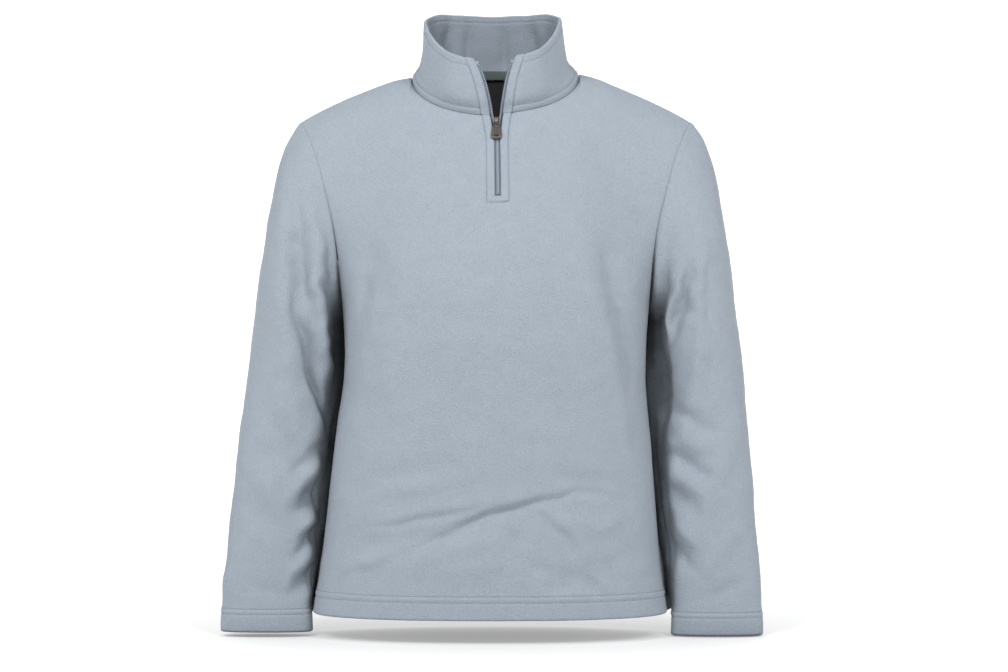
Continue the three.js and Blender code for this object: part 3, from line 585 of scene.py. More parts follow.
def unevenness(p: Array, seed: int, size: float) -> Array:
    """Soft irregular waves through space, from about -1 to 1.

    Args:
        p: points
        seed: picks the waves
        size: the usual length of a wave
    """
    rng = np.random.default_rng(seed)
    ways = unit(rng.normal(size=(WAVES, 3)))
    lengths = size * rng.uniform(0.6, 1.8, WAVES)
    phases = rng.uniform(0, 2 * math.pi, WAVES)
    total = np.zeros(p.shape[:-1])
    for way, length, phase in zip(ways, lengths, phases):
        total += np.sin((p @ way) * (2 * math.pi / length) + phase)
    return total / math.sqrt(WAVES) / 1.4


def lumps(p: Array, seed: int, size: float, fine: float) -> Array:
    """The uneven fullness of soft cloth, in waves of two sizes."""
    return 0.9 * unevenness(p, seed, size) + 0.35 * unevenness(p, seed + 1, fine)


def fold_field(folds: Iterable[Fold], piece: str, face: Face, x: Array, z: Array,
               tapered: bool = False) -> Array:
    """How far out the folds of a piece move places seen at x, z.

    Args:
        folds: all folds
        piece: the cloth piece
        face: the side looked at
        x: places across
        z: their heights
        tapered: whether the folds wander a little and narrow towards their ends

    Returns:
        the lift at each place
    """
    total = np.zeros(np.broadcast(x, z).shape)
    if tapered:
        place = point(x, np.zeros_like(x), z)
        x, z = x + 3.0 * unevenness(place, 71, 38), z + 3.0 * unevenness(place, 72, 38)
    for f in folds:
        if f.piece != piece or f.face is not face:
            continue
        path = np.array(f.path, float)
        if len(path) > 2:
            path = Line([(a, 0, b) for a, b in path], 5).points[:, [0, 2]]
        run = run_of(path)
        best = np.full(total.shape, FAR)
        along = np.zeros(total.shape)
        for i, (start, end) in enumerate(zip(path[:-1], path[1:])):
            long = np.linalg.norm(end - start)
            way = (end - start) / long
            t = (x - start[0]) * way[0] + (z - start[1]) * way[1]
            t = np.clip(t, -FAR if i == 0 else 0, FAR if i == len(path) - 2 else long)
            off = np.hypot(x - start[0] - t * way[0], z - start[1] - t * way[1])
            nearer = off < best
            best = np.where(nearer, off, best)
            along = np.where(nearer, (run[i] + t) / run[-1], along)
        wide, reach, first = f.half_width, 0.3, 0.5
        if tapered:
            wide = wide * (0.75 + 0.45 * np.sin(np.clip(along, 0, 1) * math.pi))
            reach, first = 0.6, 0.22
        ends = smooth(along / reach + first) * smooth((1 - along) / reach + first)
        total += f.depth * ends * bell(best, wide)
    return total


def groove(distance: Array, depth: float, half_width: float) -> Array:
    """A soft groove along a line, as a lift below zero."""
    return -depth * bell(distance, half_width)


def seam_dip(distance: Array) -> Array:
    """How the cloth dips into a seam it ends at."""
    return -SEAM_DEPTH * fading(distance, SEAM_WIDE)


# ------------------------------------------------------------------ nets and shells
@dataclass
class Net:
    """A sheet of points in rows and columns.

    Attributes:
        points: rows x columns x 3
        outward: 1 or -1, which turns its faces' normals outwards
        wrap: whether the last column meets the first
        keep: which cells are cloth, or None for all
        normals: outward unit normals, worked out when it is made
    """

    points: Array
    outward: float = 1.0
    wrap: bool = False
    keep: Array | None = None
    normals: Array = field(init=False)

    def __post_init__(self) -> None:
        """Works out the normals."""
        self.normals = unit(self.face_sums())

    def face_sums(self) -> Array:
        """The summed normals of the faces round each point."""
        p = self.points
        q = np.concatenate([p, p[:, :1]], axis=1) if self.wrap else p
        n = np.cross(q[1:, 1:] - q[:-1, :-1], q[1:, :-1] - q[:-1, 1:]) * self.outward
        if self.keep is not None:
            n = n * self.keep[..., None]
        sums = np.zeros_like(q)
        for rows in (slice(None, -1), slice(1, None)):
            for columns in (slice(None, -1), slice(1, None)):
                sums[rows, columns] += n
        if self.wrap:
            sums[:, 0] += sums[:, -1]
            sums = sums[:, :-1]
        return sums

    def at(self, row: Array, column: Array, source: Array | None = None) -> Array:
        """Values between the rows and columns, by default of the points."""
        data = self.points if source is None else source
        r0 = np.clip(np.floor(row).astype(int), 0, data.shape[0] - 2)
        c0 = np.clip(np.floor(column).astype(int), 0, data.shape[1] - (1 if self.wrap else 2))
        c1 = (c0 + 1) % data.shape[1]
        fr, fc = (row - r0)[..., None], (column - c0)[..., None]
        low = lerp(data[r0, c0], data[r0, c1], fc)
        return lerp(low, lerp(data[r0 + 1, c0], data[r0 + 1, c1], fc), fr)


def mesh_object(name: str, points: Array, faces: list) -> bpy.types.Object:
    """A mesh object at the origin, from points in millimetres."""
    mesh = bpy.data.meshes.new(name)
    mesh.from_pydata((np.asarray(points, float) * MM).tolist(), [], faces)
    mesh.validate()
    mesh.update()
    mesh.polygons.foreach_set("use_smooth", [True] * len(mesh.polygons))
    made = bpy.data.objects.new(name, mesh)
    bpy.context.scene.collection.objects.link(made)
    return made


def free_edges(quads: Array, count: int) -> list[tuple[int, int]]:
    """The edges that only one of the faces has, as that face runs along them."""
    starts, ends = quads.ravel(), np.roll(quads, -1, axis=1).ravel()
    there = set((ends * count + starts).tolist())
    return [(a, b) for a, b in zip(starts.tolist(), ends.tolist()) if a * count + b not in there]


def shell(name: str, net: Net, outer: Array, inner: Array, round_edge: Array) -> bpy.types.Object:
    """A closed wall of cloth with rounded edges.

    Args:
        name: the piece's name
        net: the sheet it follows, for its cells and normals
        outer: points of its outer face
        inner: points of its inner face
        round_edge: 1 where an edge shows and is rounded, 0 where it is sewn to a neighbour
    """
    rows, columns = outer.shape[:2]
    across = columns if net.wrap else columns - 1
    keep = np.ones((rows - 1, across), bool) if net.keep is None else net.keep
    r, c = np.nonzero(keep)
    d = (c + 1) % columns
    quads = np.stack([r * columns + c, r * columns + d, (r + 1) * columns + d, (r + 1) * columns + c], 1)
    if net.outward < 0:
        quads = quads[:, ::-1]
    count = rows * columns
    edges = free_edges(quads, count)
    flat, flat_in, normals = (w.reshape(-1, 3) for w in (outer, inner, net.normals))
    lean_out = np.zeros_like(flat)
    for a, b in edges:
        way = unit(np.cross(flat[b] - flat[a], normals[a]))
        lean_out[a] += way
        lean_out[b] += way
    lean_out = unit(lean_out)
    wall = np.linalg.norm(flat - flat_in, axis=1)
    softness = np.broadcast_to(round_edge, outer.shape[:2]).reshape(-1)
    rim: dict[int, list[int]] = {}
    rims = []
    for a in dict.fromkeys(v for edge in edges for v in edge):
        places = [a]
        for k in range(1, RIM_STEPS):
            turn = math.pi * k / RIM_STEPS
            bulge = math.sin(turn) * wall[a] * 0.5 * softness[a]
            places.append(2 * count + len(rims))
            rims.append(lerp(flat[a], flat_in[a], (1 - math.cos(turn)) / 2) + lean_out[a] * bulge)
        rim[a] = [*places, a + count]
    strips = [[rim[b][k], rim[a][k], rim[a][k + 1], rim[b][k + 1]]
              for a, b in edges for k in range(RIM_STEPS)]
    faces = np.vstack([quads, quads[:, ::-1] + count, np.array(strips)])
    points = np.vstack([flat, flat_in, np.array(rims)])
    used, index = np.unique(faces, return_inverse=True)
    piece = mesh_object(name, points[used], index.reshape(faces.shape).tolist())
    inside = piece.data.attributes.new("inside", "FLOAT", "POINT")
    inside.data.foreach_set("value", ((used >= count) & (used < 2 * count)).astype(np.float32))
    return piece


def tube(points: Array, ups: Array, radius: float | Array, sides: int = 6) -> tuple[Array, list]:
    """A closed tube along points, with capped ends.

    Args:
        points: n x 3
        ups: n x 3, any way roughly square to the line
        radius: its radius
        sides: faces round it
    """
    ahead = unit(np.gradient(points, axis=0))
    side = unit(np.cross(ahead, ups))
    up = np.cross(side, ahead)
    turn = np.arange(sides) * 2 * math.pi / sides
    ring = side[:, None] * np.cos(turn)[None, :, None] + up[:, None] * np.sin(turn)[None, :, None]
    made = (points[:, None] + ring * np.broadcast_to(radius, len(points))[:, None, None]).reshape(-1, 3)
    n = len(points)
    a = np.arange(n - 1)[:, None] * sides + np.arange(sides)[None]
    b = np.arange(n - 1)[:, None] * sides + (np.arange(sides)[None] + 1) % sides
    quads = np.stack([a, a + sides, b + sides, b], -1).reshape(-1, 4).tolist()
    caps = [list(range(sides)), list(range(n * sides - 1, (n - 1) * sides - 1, -1))]
    return made, quads + caps


def joined(parts: Iterable[tuple[Array, list]]) -> tuple[Array, list]:
    """Several meshes' points and faces as one."""
    points, faces, start = [], [], 0
    for p, f in parts:
        points.append(p)
        faces += [[i + start for i in face] for face in f]
        start += len(p)
    return np.vstack(points), faces


@dataclass
class StitchRow:
    """A row of lock stitches sunk in the cloth.

    Attributes:
        long: one stitch
        gap: between two
        thread: the thread's radius
    """

    long: float = 2.5
    gap: float = 0.55
    thread: float = 0.36

    def lay(self, path: Array, normals: Array, seed: int) -> tuple[Array, list]:
        """Points and faces of the stitches along a path on the cloth.

        Args:
            path: n x 3 places along the row
            normals: the cloth's outward normals there
            seed: picks each stitch's small wander
        """
        rng = np.random.default_rng(seed)
        run = run_of(path)
        count = max(1, round(run[-1] / (self.long + self.gap)))
        pitch = run[-1] / count
        shape = np.linspace(0, 1, len(STITCH_RISE))
        rise = np.array(STITCH_RISE)[:, None] * self.thread / 0.3
        radii = self.thread * np.array(STITCH_ROUND)
        parts = []
        for i in range(count):
            s = (i + 0.5) * pitch + (shape - 0.5) * self.long * rng.uniform(0.94, 1.04)
            p, n = read_at(s, run, path), unit(read_at(s, run, normals))
            ahead = unit(p[-1] - p[0])
            aside = np.cross(n, ahead)
            p = p + n * rise
            p = p + aside * (rng.normal() * 0.06 + (shape - 0.5)[:, None] * 0.12)
            parts.append(tube(p, n, radii, 5))
        return joined(parts)


# ------------------------------------------------------------------ the garment's form
def frame_of(across: Vector, up: Vector, out: Vector, centre: Sequence[float]) -> Matrix:
    """The frame with these three axes at a centre."""
    rows = [(across[k], up[k], out[k], centre[k]) for k in range(3)]
    return Matrix([*rows, (0, 0, 0, 1)])


class Form:
    """The shape of the filled-out garment, before its fine relief."""

    def __init__(self) -> None:
        """Reads the tables."""
        self.body = Table(BODY_ROWS)
        self.shoulder = Table(SHOULDER_SEAM)
        self.lean_rows = Table(LEAN)
        self.body_lean_rows = Table(BODY_LEAN)
        self.zip_line = Table(ZIP_LINE)
        self.rings = Table([(k, *row) for k, row in enumerate(SLEEVE_RINGS)])
        self.rise = Table(COLLAR_RISE)
        self.armhole = {Face.FRONT: Line(ARMHOLE_FRONT), Face.BACK: Line(ARMHOLE_BACK)}
        self.rim = Line(COLLAR_RIM)

    def lean(self, z: Array) -> Array:
        """How far aside the garment hangs at z."""
        return self.lean_rows(z)[..., 0]

    def body_lean(self, z: Array) -> Array:
        """How far aside the body hangs at z."""
        return self.lean(z) + self.body_lean_rows(z)[..., 0]

    def ring_point(self, face: Face, z: Array, u: Array) -> Array:
        """A place on the body below the underarm; u is -1 to 1 from the right side seam."""
        half, front, back = np.moveaxis(self.body(z), -1, 0)
        depth = -front if face is Face.FRONT else back
        angle = u * math.pi / 2
        return point(half * power(np.sin(angle), SQUARENESS), depth * power(np.cos(angle), SQUARENESS), z)

    @staticmethod
    def neck_tilt(x: Array) -> Array:
        """How much higher the neck sits at x."""
        return NECK_TILT * np.tanh(x / 20)

    def top_point(self, face: Face, u: Array) -> Array:
        """The panel's top edge: neckline in the middle, shoulder seam outside it."""
        side, a = np.where(u < 0, -1.0, 1.0), np.abs(u)
        w = np.clip((a - NECK_SHARE) / (1 - NECK_SHARE), 0, 1)
        x = lerp(NECK_HALF, SHOULDER_HALF, w)
        z = self.shoulder(x)[..., 0] + self.neck_tilt(side * x) * (1 - w) ** 3
        shoulder = point(side * x, lerp(*SHOULDER_SEAM_Y, w), z)
        low_y, low_z = NECK_FRONT if face is Face.FRONT else NECK_BACK
        turn = np.clip(a / NECK_SHARE, 0, 1) * (math.pi / 2)
        x = side * NECK_HALF * np.sin(turn)
        tilt = self.neck_tilt(x) * (1 if face is Face.FRONT else np.sin(turn))
        y = lerp(SHOULDER_SEAM_Y[0], low_y, np.cos(turn))
        neck = point(x, y, lerp(NECK_POINT_Z, low_z, np.cos(turn)) + tilt)
        return np.where((a > NECK_SHARE)[..., None], shoulder, neck)

    def yoke_base(self, face: Face, u: Array, v: Array) -> Array:
        """The panel above the underarm before its armhole edge is drawn to its seam line."""
        u, v = np.broadcast_arrays(u, v)
        low, top = self.ring_point(face, np.full(u.shape, UNDERARM_Z), u), self.top_point(face, u)
        turn = np.clip(np.abs(u) / NECK_SHARE, 0, 1) * (math.pi / 2)
        at_shoulder, at_centre = (69, 24.5) if face is Face.FRONT else (-111, -30)
        angle = np.radians(lerp(at_shoulder, at_centre, np.cos(turn)))
        reach = np.hypot(top[..., 1] - low[..., 1], top[..., 2] - low[..., 2])
        fullness = 0.9
        if face is Face.FRONT:
            fullness = lerp(1.2, 0.9, np.clip(np.abs(u) / NECK_SHARE, 0, 1))
        return point(
            lerp(low[..., 0], top[..., 0], 0.45 * v + 0.55 * smooth(v)),
            hermite(low[..., 1], top[..., 1], 0, fullness * reach * np.sin(angle), v),
            hermite(low[..., 2], top[..., 2], 0.8 * reach, fullness * reach * np.cos(angle), v),
        )

    def yoke_point(self, face: Face, u: Array, v: Array) -> Array:
        """The panel above the underarm, v running from 0 to 1 upwards."""
        spread = 0.16 * bell(np.abs(u) - NECK_SHARE, 0.17) * ramp(v, 1, 0.55)
        p = sum(w / 9 * self.yoke_base(face, u + k * spread, v)
                for k, w in ((-1, 1), (-0.5, 2), (0, 3), (0.5, 2), (1, 1)))
        side = np.where(u < 0, -1.0, 1.0)
        pull = np.clip((np.abs(u) - 0.55) / 0.45, 0, 1) ** 2
        edge = self.armhole[face](v) * np.stack([side, np.ones_like(side), np.ones_like(side)], -1)
        return p + pull[..., None] * (edge - self.yoke_base(face, side, v))

    def yoke_share(self, z: float) -> float:
        """The share of the yoke at which its centre front is at height z."""
        v = np.linspace(0, 1, 2001)
        return float(np.interp(z, self.yoke_base(Face.FRONT, np.zeros_like(v), v)[:, 2], v))

    def zip_frame(self, z: float) -> Matrix:
        """The frame of a place on the zip: x across, y up the slope, z out, in millimetres."""
        v = np.array([self.yoke_share(z), self.yoke_share(z + 2)])
        p, q = self.yoke_base(Face.FRONT, np.full(2, SLOT_U), v)
        up = Vector((0, q[1] - p[1], q[2] - p[2])).normalized()
        out = Vector((1, 0, 0)).cross(up)
        centre = (self.zip_line(z)[0], p[1], z)
        return frame_of(Vector((1, 0, 0)), up, out, centre)


FORM = Form()


def half_columns(face: Face) -> tuple[Array, Array]:
    """Columns of half a panel: across the neck, and from the neck point to the side.

    Args:
        face: the front has fine columns beside its zip, and starts at the zip's edge

    Returns:
        the two rising lists of u, both with NECK_SHARE
    """
    u = np.linspace(0, 1, 1500)
    underarm = np.full(u.shape, UNDERARM_Z)
    run = run_of(FORM.ring_point(face, underarm, u))
    start = SLOT_U if face is Face.FRONT else 0.0
    at = np.interp([start, NECK_SHARE, 1.0], u, run)
    inner = lerp(at[0], at[1], spaced(at[1] - at[0], FINE_AT_ZIP if face is Face.FRONT else 0.0))
    u_in = np.interp(inner, run, u)
    u_in[[0, -1]] = start, NECK_SHARE
    front_run = run_of(FORM.ring_point(Face.FRONT, underarm, u))
    span = np.interp([NECK_SHARE, 1.0], u, front_run)
    u_out = np.interp(lerp(span[0], span[1], spaced(span[1] - span[0], 0.0, FINE_AT_SEAM)), front_run, u)
    u_out[[0, -1]] = NECK_SHARE, 1.0
    return u_in, u_out


Z_ROWS = lerp(HEM_Z, UNDERARM_Z, spaced(UNDERARM_Z - HEM_Z, FINE_AT_HEM))[:-1]
SLOT_V = FORM.yoke_share(SLOT_FOOT_Z)
V_ROWS = np.concatenate([
    SLOT_V * spaced(YOKE_LONG * SLOT_V, 0.0, FINE_AT_NECK)[:-1],
    SLOT_V + (1 - SLOT_V) * spaced(YOKE_LONG * (1 - SLOT_V), 3.0, FINE_AT_NECK),
])
PANEL_V = np.concatenate([np.zeros(len(Z_ROWS)), V_ROWS])[:, None]  # for every row of a panel
# Turn round a sleeve: up the front of its armhole and down the back, pi on its inner side.
SLEEVE_TURN = np.concatenate([(1 - V_ROWS[:0:-1]) * math.pi, (1 + V_ROWS[:-1]) * math.pi])
UNDERARM_ROW = len(Z_ROWS)
SLOT_ROW = UNDERARM_ROW + int(np.argmin(np.abs(V_ROWS - SLOT_V)))


@dataclass
class BodyPanel:
    """The front or the back, from the hem to the neckline and the shoulder seams.

    Attributes:
        face: which of the two
        net: its outer sheet
        us: its columns
        neck: the columns of its two neck points
    """

    face: Face
    net: Net = field(init=False)
    us: Array = field(init=False)
    neck: tuple[int, int] = field(init=False)

    def __post_init__(self) -> None:
        """Works out the sheet."""
        u_in, u_out = half_columns(self.face)
        half = np.concatenate([u_in, u_out[1:]])
        if self.face is Face.FRONT:
            middle = np.linspace(-SLOT_U, SLOT_U, SLOT_COLUMNS + 1)[1:-1]
            self.us = np.concatenate([-half[::-1], middle, half])
        else:
            self.us = np.concatenate([-half[::-1], half[1:]])
        self.neck = (len(u_out) - 1, len(self.us) - len(u_out))
        u = self.us[None, :]
        below = FORM.ring_point(self.face, *np.broadcast_arrays(Z_ROWS[:, None], u))
        above = FORM.yoke_point(self.face, *np.broadcast_arrays(u, V_ROWS[:, None]))
        p = np.vstack([below, above])
        angle = u * math.pi / 2
        fade = ramp(np.abs(u), 1, 0.84) * ramp(PANEL_V, 1, 0.8)
        depth = fold_field(BROAD_FOLDS, "body", self.face, p[..., 0], p[..., 2])
        depth = depth * smooth(np.cos(angle) * fade * 1.6)
        p[..., 1] += self.face.value * depth * np.cos(angle)
        p[..., 0] += depth * np.sin(angle)
        keep = None
        if self.face is Face.FRONT:
            p[..., 0] = self.at_zip(p)
            keep = np.ones((p.shape[0] - 1, p.shape[1] - 1), bool)
            keep[SLOT_ROW:, self.slot[0]:self.slot[1]] = False
        p[..., 0] += FORM.body_lean(p[..., 2])
        self.net = Net(p, 1.0 if self.face is Face.FRONT else -1.0, False, keep)

    @property
    def slot(self) -> tuple[int, int]:
        """The columns of the zip's two edges."""
        return int(np.argmin(np.abs(self.us + SLOT_U))), int(np.argmin(np.abs(self.us - SLOT_U)))

    def at_zip(self, p: Array) -> Array:
        """The x of the front's points once its middle follows the zip."""
        x, half, _ = np.moveaxis(FORM.zip_line(p[..., 2]), -1, 0)
        a, side = np.abs(self.us)[None, :], np.sign(self.us)[None, :]
        moved = p[..., 0] + x * ramp(a, 0.4, 0)
        left, right = self.slot
        near = ramp(a, SLOT_U + 0.1, SLOT_U)
        for column, way in ((left, -1), (right, 1)):
            miss = (x + way * (half + LIP))[:, column] - moved[:, column]
            moved = moved + np.where((side == way) & (a >= SLOT_U - TINY), near * miss[:, None], 0)
        inside = x + (half + LIP) * self.us[None, :] / SLOT_U
        return np.where(a < SLOT_U - TINY, inside, moved)


def against_body(side: Side, p: Array) -> Array:
    """How far each point of a sleeve's inner side is drawn in so that it lies beside the body."""
    z = np.clip(p[..., 2], HEM_Z, UNDERARM_Z)
    half, _, back = np.moveaxis(FORM.body(z), -1, 0)
    c = np.clip(np.maximum(p[..., 1], 0) / back, 0, 0.95) ** (1 / SQUARENESS)
    beside = half * np.sqrt(1 - c * c) ** SQUARENESS
    lean = side.value * FORM.body_lean(z)
    gap = side.value * p[..., 0] - beside - lean - BESIDE
    near = np.exp(-(((SLEEVE_TURN[None] - math.pi) / 1.3) ** 4)) * ramp(p[..., 1], -12, 22)
    level = ramp(p[..., 2], UNDERARM_Z + 11, UNDERARM_Z - 19) * ramp(p[..., 2], CUFF_Z, CUFF_Z + 50)
    most = lerp(MOST_IN_ABOVE, MOST_IN, ramp(p[..., 2], -300, -540))
    return np.clip(gap, 0, most) * near * level


def sleeve_net(side: Side, front: BodyPanel, back: BodyPanel) -> Net:
    """Rings of a sleeve from the armhole down, each from its top round by the front.

    Args:
        side: the wearer's side
        front: the front, whose armhole edge it is sewn to
        back: the back
    """
    column = 0 if side is Side.RIGHT else -1
    f, b = front.net.points[UNDERARM_ROW:, column], back.net.points[UNDERARM_ROW:, column]
    loop = np.vstack([f[:0:-1], b[:-1]])
    k = np.linspace(0, len(SLEEVE_RINGS) - 1, SLEEVE_SAMPLES)
    ox, oz, ix, iz, _, mid_y = FORM.rings(k).T
    run = run_of(np.stack([(ox + ix) / 2, mid_y, (oz + iz) / 2], -1))
    rings_down = np.interp(spaced(run[-1], 3.0, FINE_AT_HEM) * run[-1], run, k)[:, None]
    ox, oz, ix, iz, deep, mid_y = np.moveaxis(FORM.rings(rings_down), -1, 0)
    c, s = power(np.cos(SLEEVE_TURN), SQUARENESS)[None], power(np.sin(SLEEVE_TURN), SQUARENESS)[None]
    p = point(side.value * ((ox + ix) / 2 + (ox - ix) / 2 * c), mid_y - deep * s,
              (oz + iz) / 2 + (oz - iz) / 2 * c)
    shift = loop - p[0]
    p[..., 2] += CUFF_LIFT[side] * ramp(rings_down, 8, len(SLEEVE_RINGS) - 1)
    p += shift[None] * ramp(rings_down, 5, 0)[..., None]
    facing = np.sin(SLEEVE_TURN)[None]
    name = f"sleeve_{side.word}"
    for face in Face:
        depth = fold_field(BROAD_FOLDS, name, face, p[..., 0], p[..., 2])
        here = facing > 0 if face is Face.FRONT else facing <= 0
        depth = depth * smooth(np.abs(facing) * 1.6) * ramp(rings_down, 2, 5) * here
        p[..., 1] += face.value * depth * np.abs(facing)
        p[..., 0] += side.value * depth * np.cos(SLEEVE_TURN)[None] * 0.5
    p[1:, :, 0] += FORM.lean(p[1:, :, 2])
    p[0] = loop
    p[..., 0] -= side.value * against_body(side, p)
    return Net(p, float(side.value), True)


def collar_net(front: BodyPanel, back: BodyPanel) -> Net:
    """The collar from the neck seam up, from the zip's right edge round the back to its left."""
    f, b = front.net.points[-1], back.net.points[-1]
    left, right = front.slot
    base = np.vstack([
        f[front.neck[0]:left + 1][::-1],
        b[back.neck[0] + 1:back.neck[1]],
        f[right:front.neck[1] + 1][::-1],
    ])
    run = run_of(base)
    share = run / run[-1]
    top = FORM.rim(1 - np.abs(1 - 2 * share))
    top[:, 0] *= np.where(share < 0.5, -1, 1)
    top[:, 2] += FORM.neck_tilt(top[:, 0]) * np.clip((40 - top[:, 1]) / 60, 0, 1)
    top[:, 0] += FORM.lean(top[:, 2])
    to_zip = ramp(np.minimum(run, run[-1] - run), ZIP_EDGE_REACH, 0)[None]
    up = spaced(78.0, 10.0, 10.0)
    across, aside = FORM.rise(up).T[..., None]
    p = point(
        lerp(base[None, :, 0], top[None, :, 0], lerp(across, aside, to_zip)),
        lerp(base[None, :, 1], top[None, :, 1], across),
        lerp(base[None, :, 2], top[None, :, 2], up[:, None]),
    )
    return Net(p, -1.0)


def sew(nets: Sequence[Net]) -> None:
    """Gives every point that several pieces share one normal."""
    edges = []
    for net in nets:
        mask = np.zeros(net.points.shape[:2], bool)
        mask[[0, -1]] = True
        if not net.wrap:
            mask[:, [0, -1]] = True
        edges.append(np.nonzero(mask))
    points = np.vstack([net.points[e] for net, e in zip(nets, edges)])
    normals = np.vstack([net.normals[e] for net, e in zip(nets, edges)])
    _, place = np.unique(np.round(points, 2), axis=0, return_inverse=True)
    place = place.reshape(-1)
    total = np.zeros((place.max() + 1, 3))
    np.add.at(total, place, normals)
    shared = unit(total)[place]
    start = 0
    for net, e in zip(nets, edges):
        end = start + len(e[0])
        net.normals[e] = shared[start:end]
        start = end


@dataclass
class Cloth:
    """One cut piece of the garment with its relief.

    Attributes:
        name: what its name in the scene begins with
        net: its outer sheet
        shift: how far both faces move out
        relief: how far the outer face moves out besides
        thick: the wall
        soft: 1 where an edge shows
        inner: how far the inner face moves in besides
    """

    name: str
    net: Net
    shift: Array
    relief: Array
    thick: Array
    soft: Array
    inner: Array | float = 0.0

    @property
    def face(self) -> Array:
        """Points of the outer face."""
        return self.net.points + self.net.normals * (self.shift + self.relief)[..., None]

    @property
    def back_face(self) -> Array:
        """Points of the inner face."""
        deep = self.thick - self.shift + self.inner
        return self.net.points - self.net.normals * deep[..., None]

    def build(self) -> bpy.types.Object:
        """The closed wall as an object."""
        return shell(f"{self.name}_cloth", self.net, self.face, self.back_face, self.soft)

    def along(self, rows: Array, columns: Array) -> tuple[Array, Array]:
        """Places on the outer face and its normals, between rows and columns."""
        normals = unit(self.net.at(rows, columns, self.net.normals))
        return self.net.at(rows, columns, self.face), normals

    def rows_at(self, distance: float, from_end: bool) -> Array:
        """For each column, the row a distance from the first or the last one."""
        run = run_of(self.net.points)
        rows = np.arange(len(run))
        if from_end:
            run, rows = (run[-1:] - run)[::-1], rows[::-1]
        return np.array([np.interp(distance, column, rows) for column in run.T])

    def edge_line(self, distance: float, from_end: bool) -> tuple[Array, Array]:
        """A line of places, and normals, a distance from the first or the last row."""
        rows = self.rows_at(distance, from_end)
        columns = np.arange(len(rows), dtype=float)
        if self.net.wrap:
            rows, columns = np.append(rows, rows[0]), np.append(columns, 0.0)
        return self.along(rows, columns)

    def inner_grid(self, rows: Array, columns: Array) -> tuple[Array, Array]:
        """A grid of places on the inner face, with the outward normals there."""
        grid = np.meshgrid(rows, columns, indexing="ij")
        return self.net.at(*grid, self.back_face), unit(self.net.at(*grid, self.net.normals))


def turned_edge(run: Array, lines: tuple[float, float]) -> Array:
    """Relief of a turned-up and twice stitched edge, by distance from it."""
    raised = 0.7 * ramp(run, lines[1] + 3.2, lines[1] + 1.0)
    swell = 0.45 * bell(run - sum(lines) / 2, 2.6)
    return raised + swell + groove(run - lines[0], 0.7, 1.4) + groove(run - lines[1], 0.75, 1.6)


def wall_at(run: Array, reach: float) -> Array:
    """The wall's thickness by distance from a turned-up edge."""
    return lerp(TURN_UP, FLEECE, ramp(run, reach, reach + 2.5))


def placket(beyond: Array) -> Array:
    """Relief of the raised strip beside the zip, by distance beyond its row of stitching."""
    return 0.9 * ramp(beyond, 1.4, -1.4) + groove(beyond, 1.25, 1.15)


def zip_edge(distance: Array) -> Array:
    """How the cloth sinks to the edge that the zip is sewn to."""
    return -0.8 * fading(distance, 1.3)


def body_cloth(panel: BodyPanel) -> Cloth:
    """Relief of the front or the back."""
    net, us = panel.net, panel.us[None, :]
    p = net.points
    up, across = run_of(p), run_of(p, 1)
    to_side = np.minimum(across, across[:, -1:] - across)
    to_top = up[-1:] - up
    fade = ramp(to_side, 2, 28) * ramp(to_top, 2, 32)
    facing = smooth(np.cos(us * math.pi / 2) * 1.7)
    shift = fold_field(CREASES, "body", panel.face, p[..., 0], p[..., 2], True) * fade * facing
    shift += lumps(p, 11, 70, 26) * fade * ramp(up, 20, 50)
    shift += 1.5 * unevenness(p * np.array([1, 1, 0.25]), 5, 95) * ramp(up, 90, 0)
    relief = seam_dip(to_side) * ramp(up, 0, 6) + seam_dip(to_top)
    relief += turned_edge(up, HEM_LINES)
    relief += NAP_LUMPS * unevenness(p, 21, 7)
    soft = np.zeros(p.shape[:2])
    soft[0] = 1
    if panel.face is Face.FRONT:
        x, half, _ = np.moveaxis(FORM.zip_line(p[..., 2]), -1, 0)
        x = x + FORM.body_lean(p[..., 2])
        beside = np.abs(p[..., 0] - x) - half - PLACKET
        outside = np.maximum(beside, PLACKET_FOOT_Z - p[..., 2])
        relief -= seam_dip(to_top) * ramp(beside, 1.5, -1.5)
        relief += placket(outside) + zip_edge(beside + PLACKET) * (PANEL_V > SLOT_V - 0.01)
        shift *= ramp(outside, -8, 12)
        soft[SLOT_ROW:, list(panel.slot)] = 1
    else:
        to_neck = np.where(np.abs(us) < NECK_SHARE, to_top, FAR)
        relief += groove(to_neck - 7, 0.3, 1.0)
        full = bell(np.abs(us) - 0.84, 0.12) * ramp(np.abs(us), 1, 0.9)
        shift += BACK_FULL * full * ramp(p[..., 2], -580, -630)
    return Cloth(panel.face.name.lower(), net, shift, relief, wall_at(up, HEM_LINES[1]), soft)


def sleeve_cloth(side: Side, net: Net) -> Cloth:
    """Relief of a sleeve."""
    p = net.points
    name, seed = f"sleeve_{side.word}", 31 if side is Side.RIGHT else 41
    down, under = run_of(p), run_of(p, 1)
    to_cuff = down[-1:] - down
    facing = np.sin(SLEEVE_TURN)[None]
    fade = ramp(down, 3, 29) * ramp(to_cuff, 20, 50)
    shift = np.zeros(p.shape[:2])
    for face in Face:
        here = ramp(facing * face.value, 0.25, -0.25)
        shift += fold_field(CREASES, name, face, p[..., 0], p[..., 2], True) * here
    shift *= fade
    shift += lumps(p, seed, 60, 24) * fade
    relief = seam_dip(down) + turned_edge(to_cuff, CUFF_LINES) + NAP_LUMPS * unevenness(p, seed + 2, 7)
    middle = p.shape[1] - len(V_ROWS[:-1])
    relief += groove(under - under[:, [middle]], 0.9, 1.5) * ramp(to_cuff, 0, 6)
    soft = np.zeros(p.shape[:2])
    soft[-1] = 1
    return Cloth(name, net, shift, relief, wall_at(to_cuff, CUFF_LINES[1]), soft)


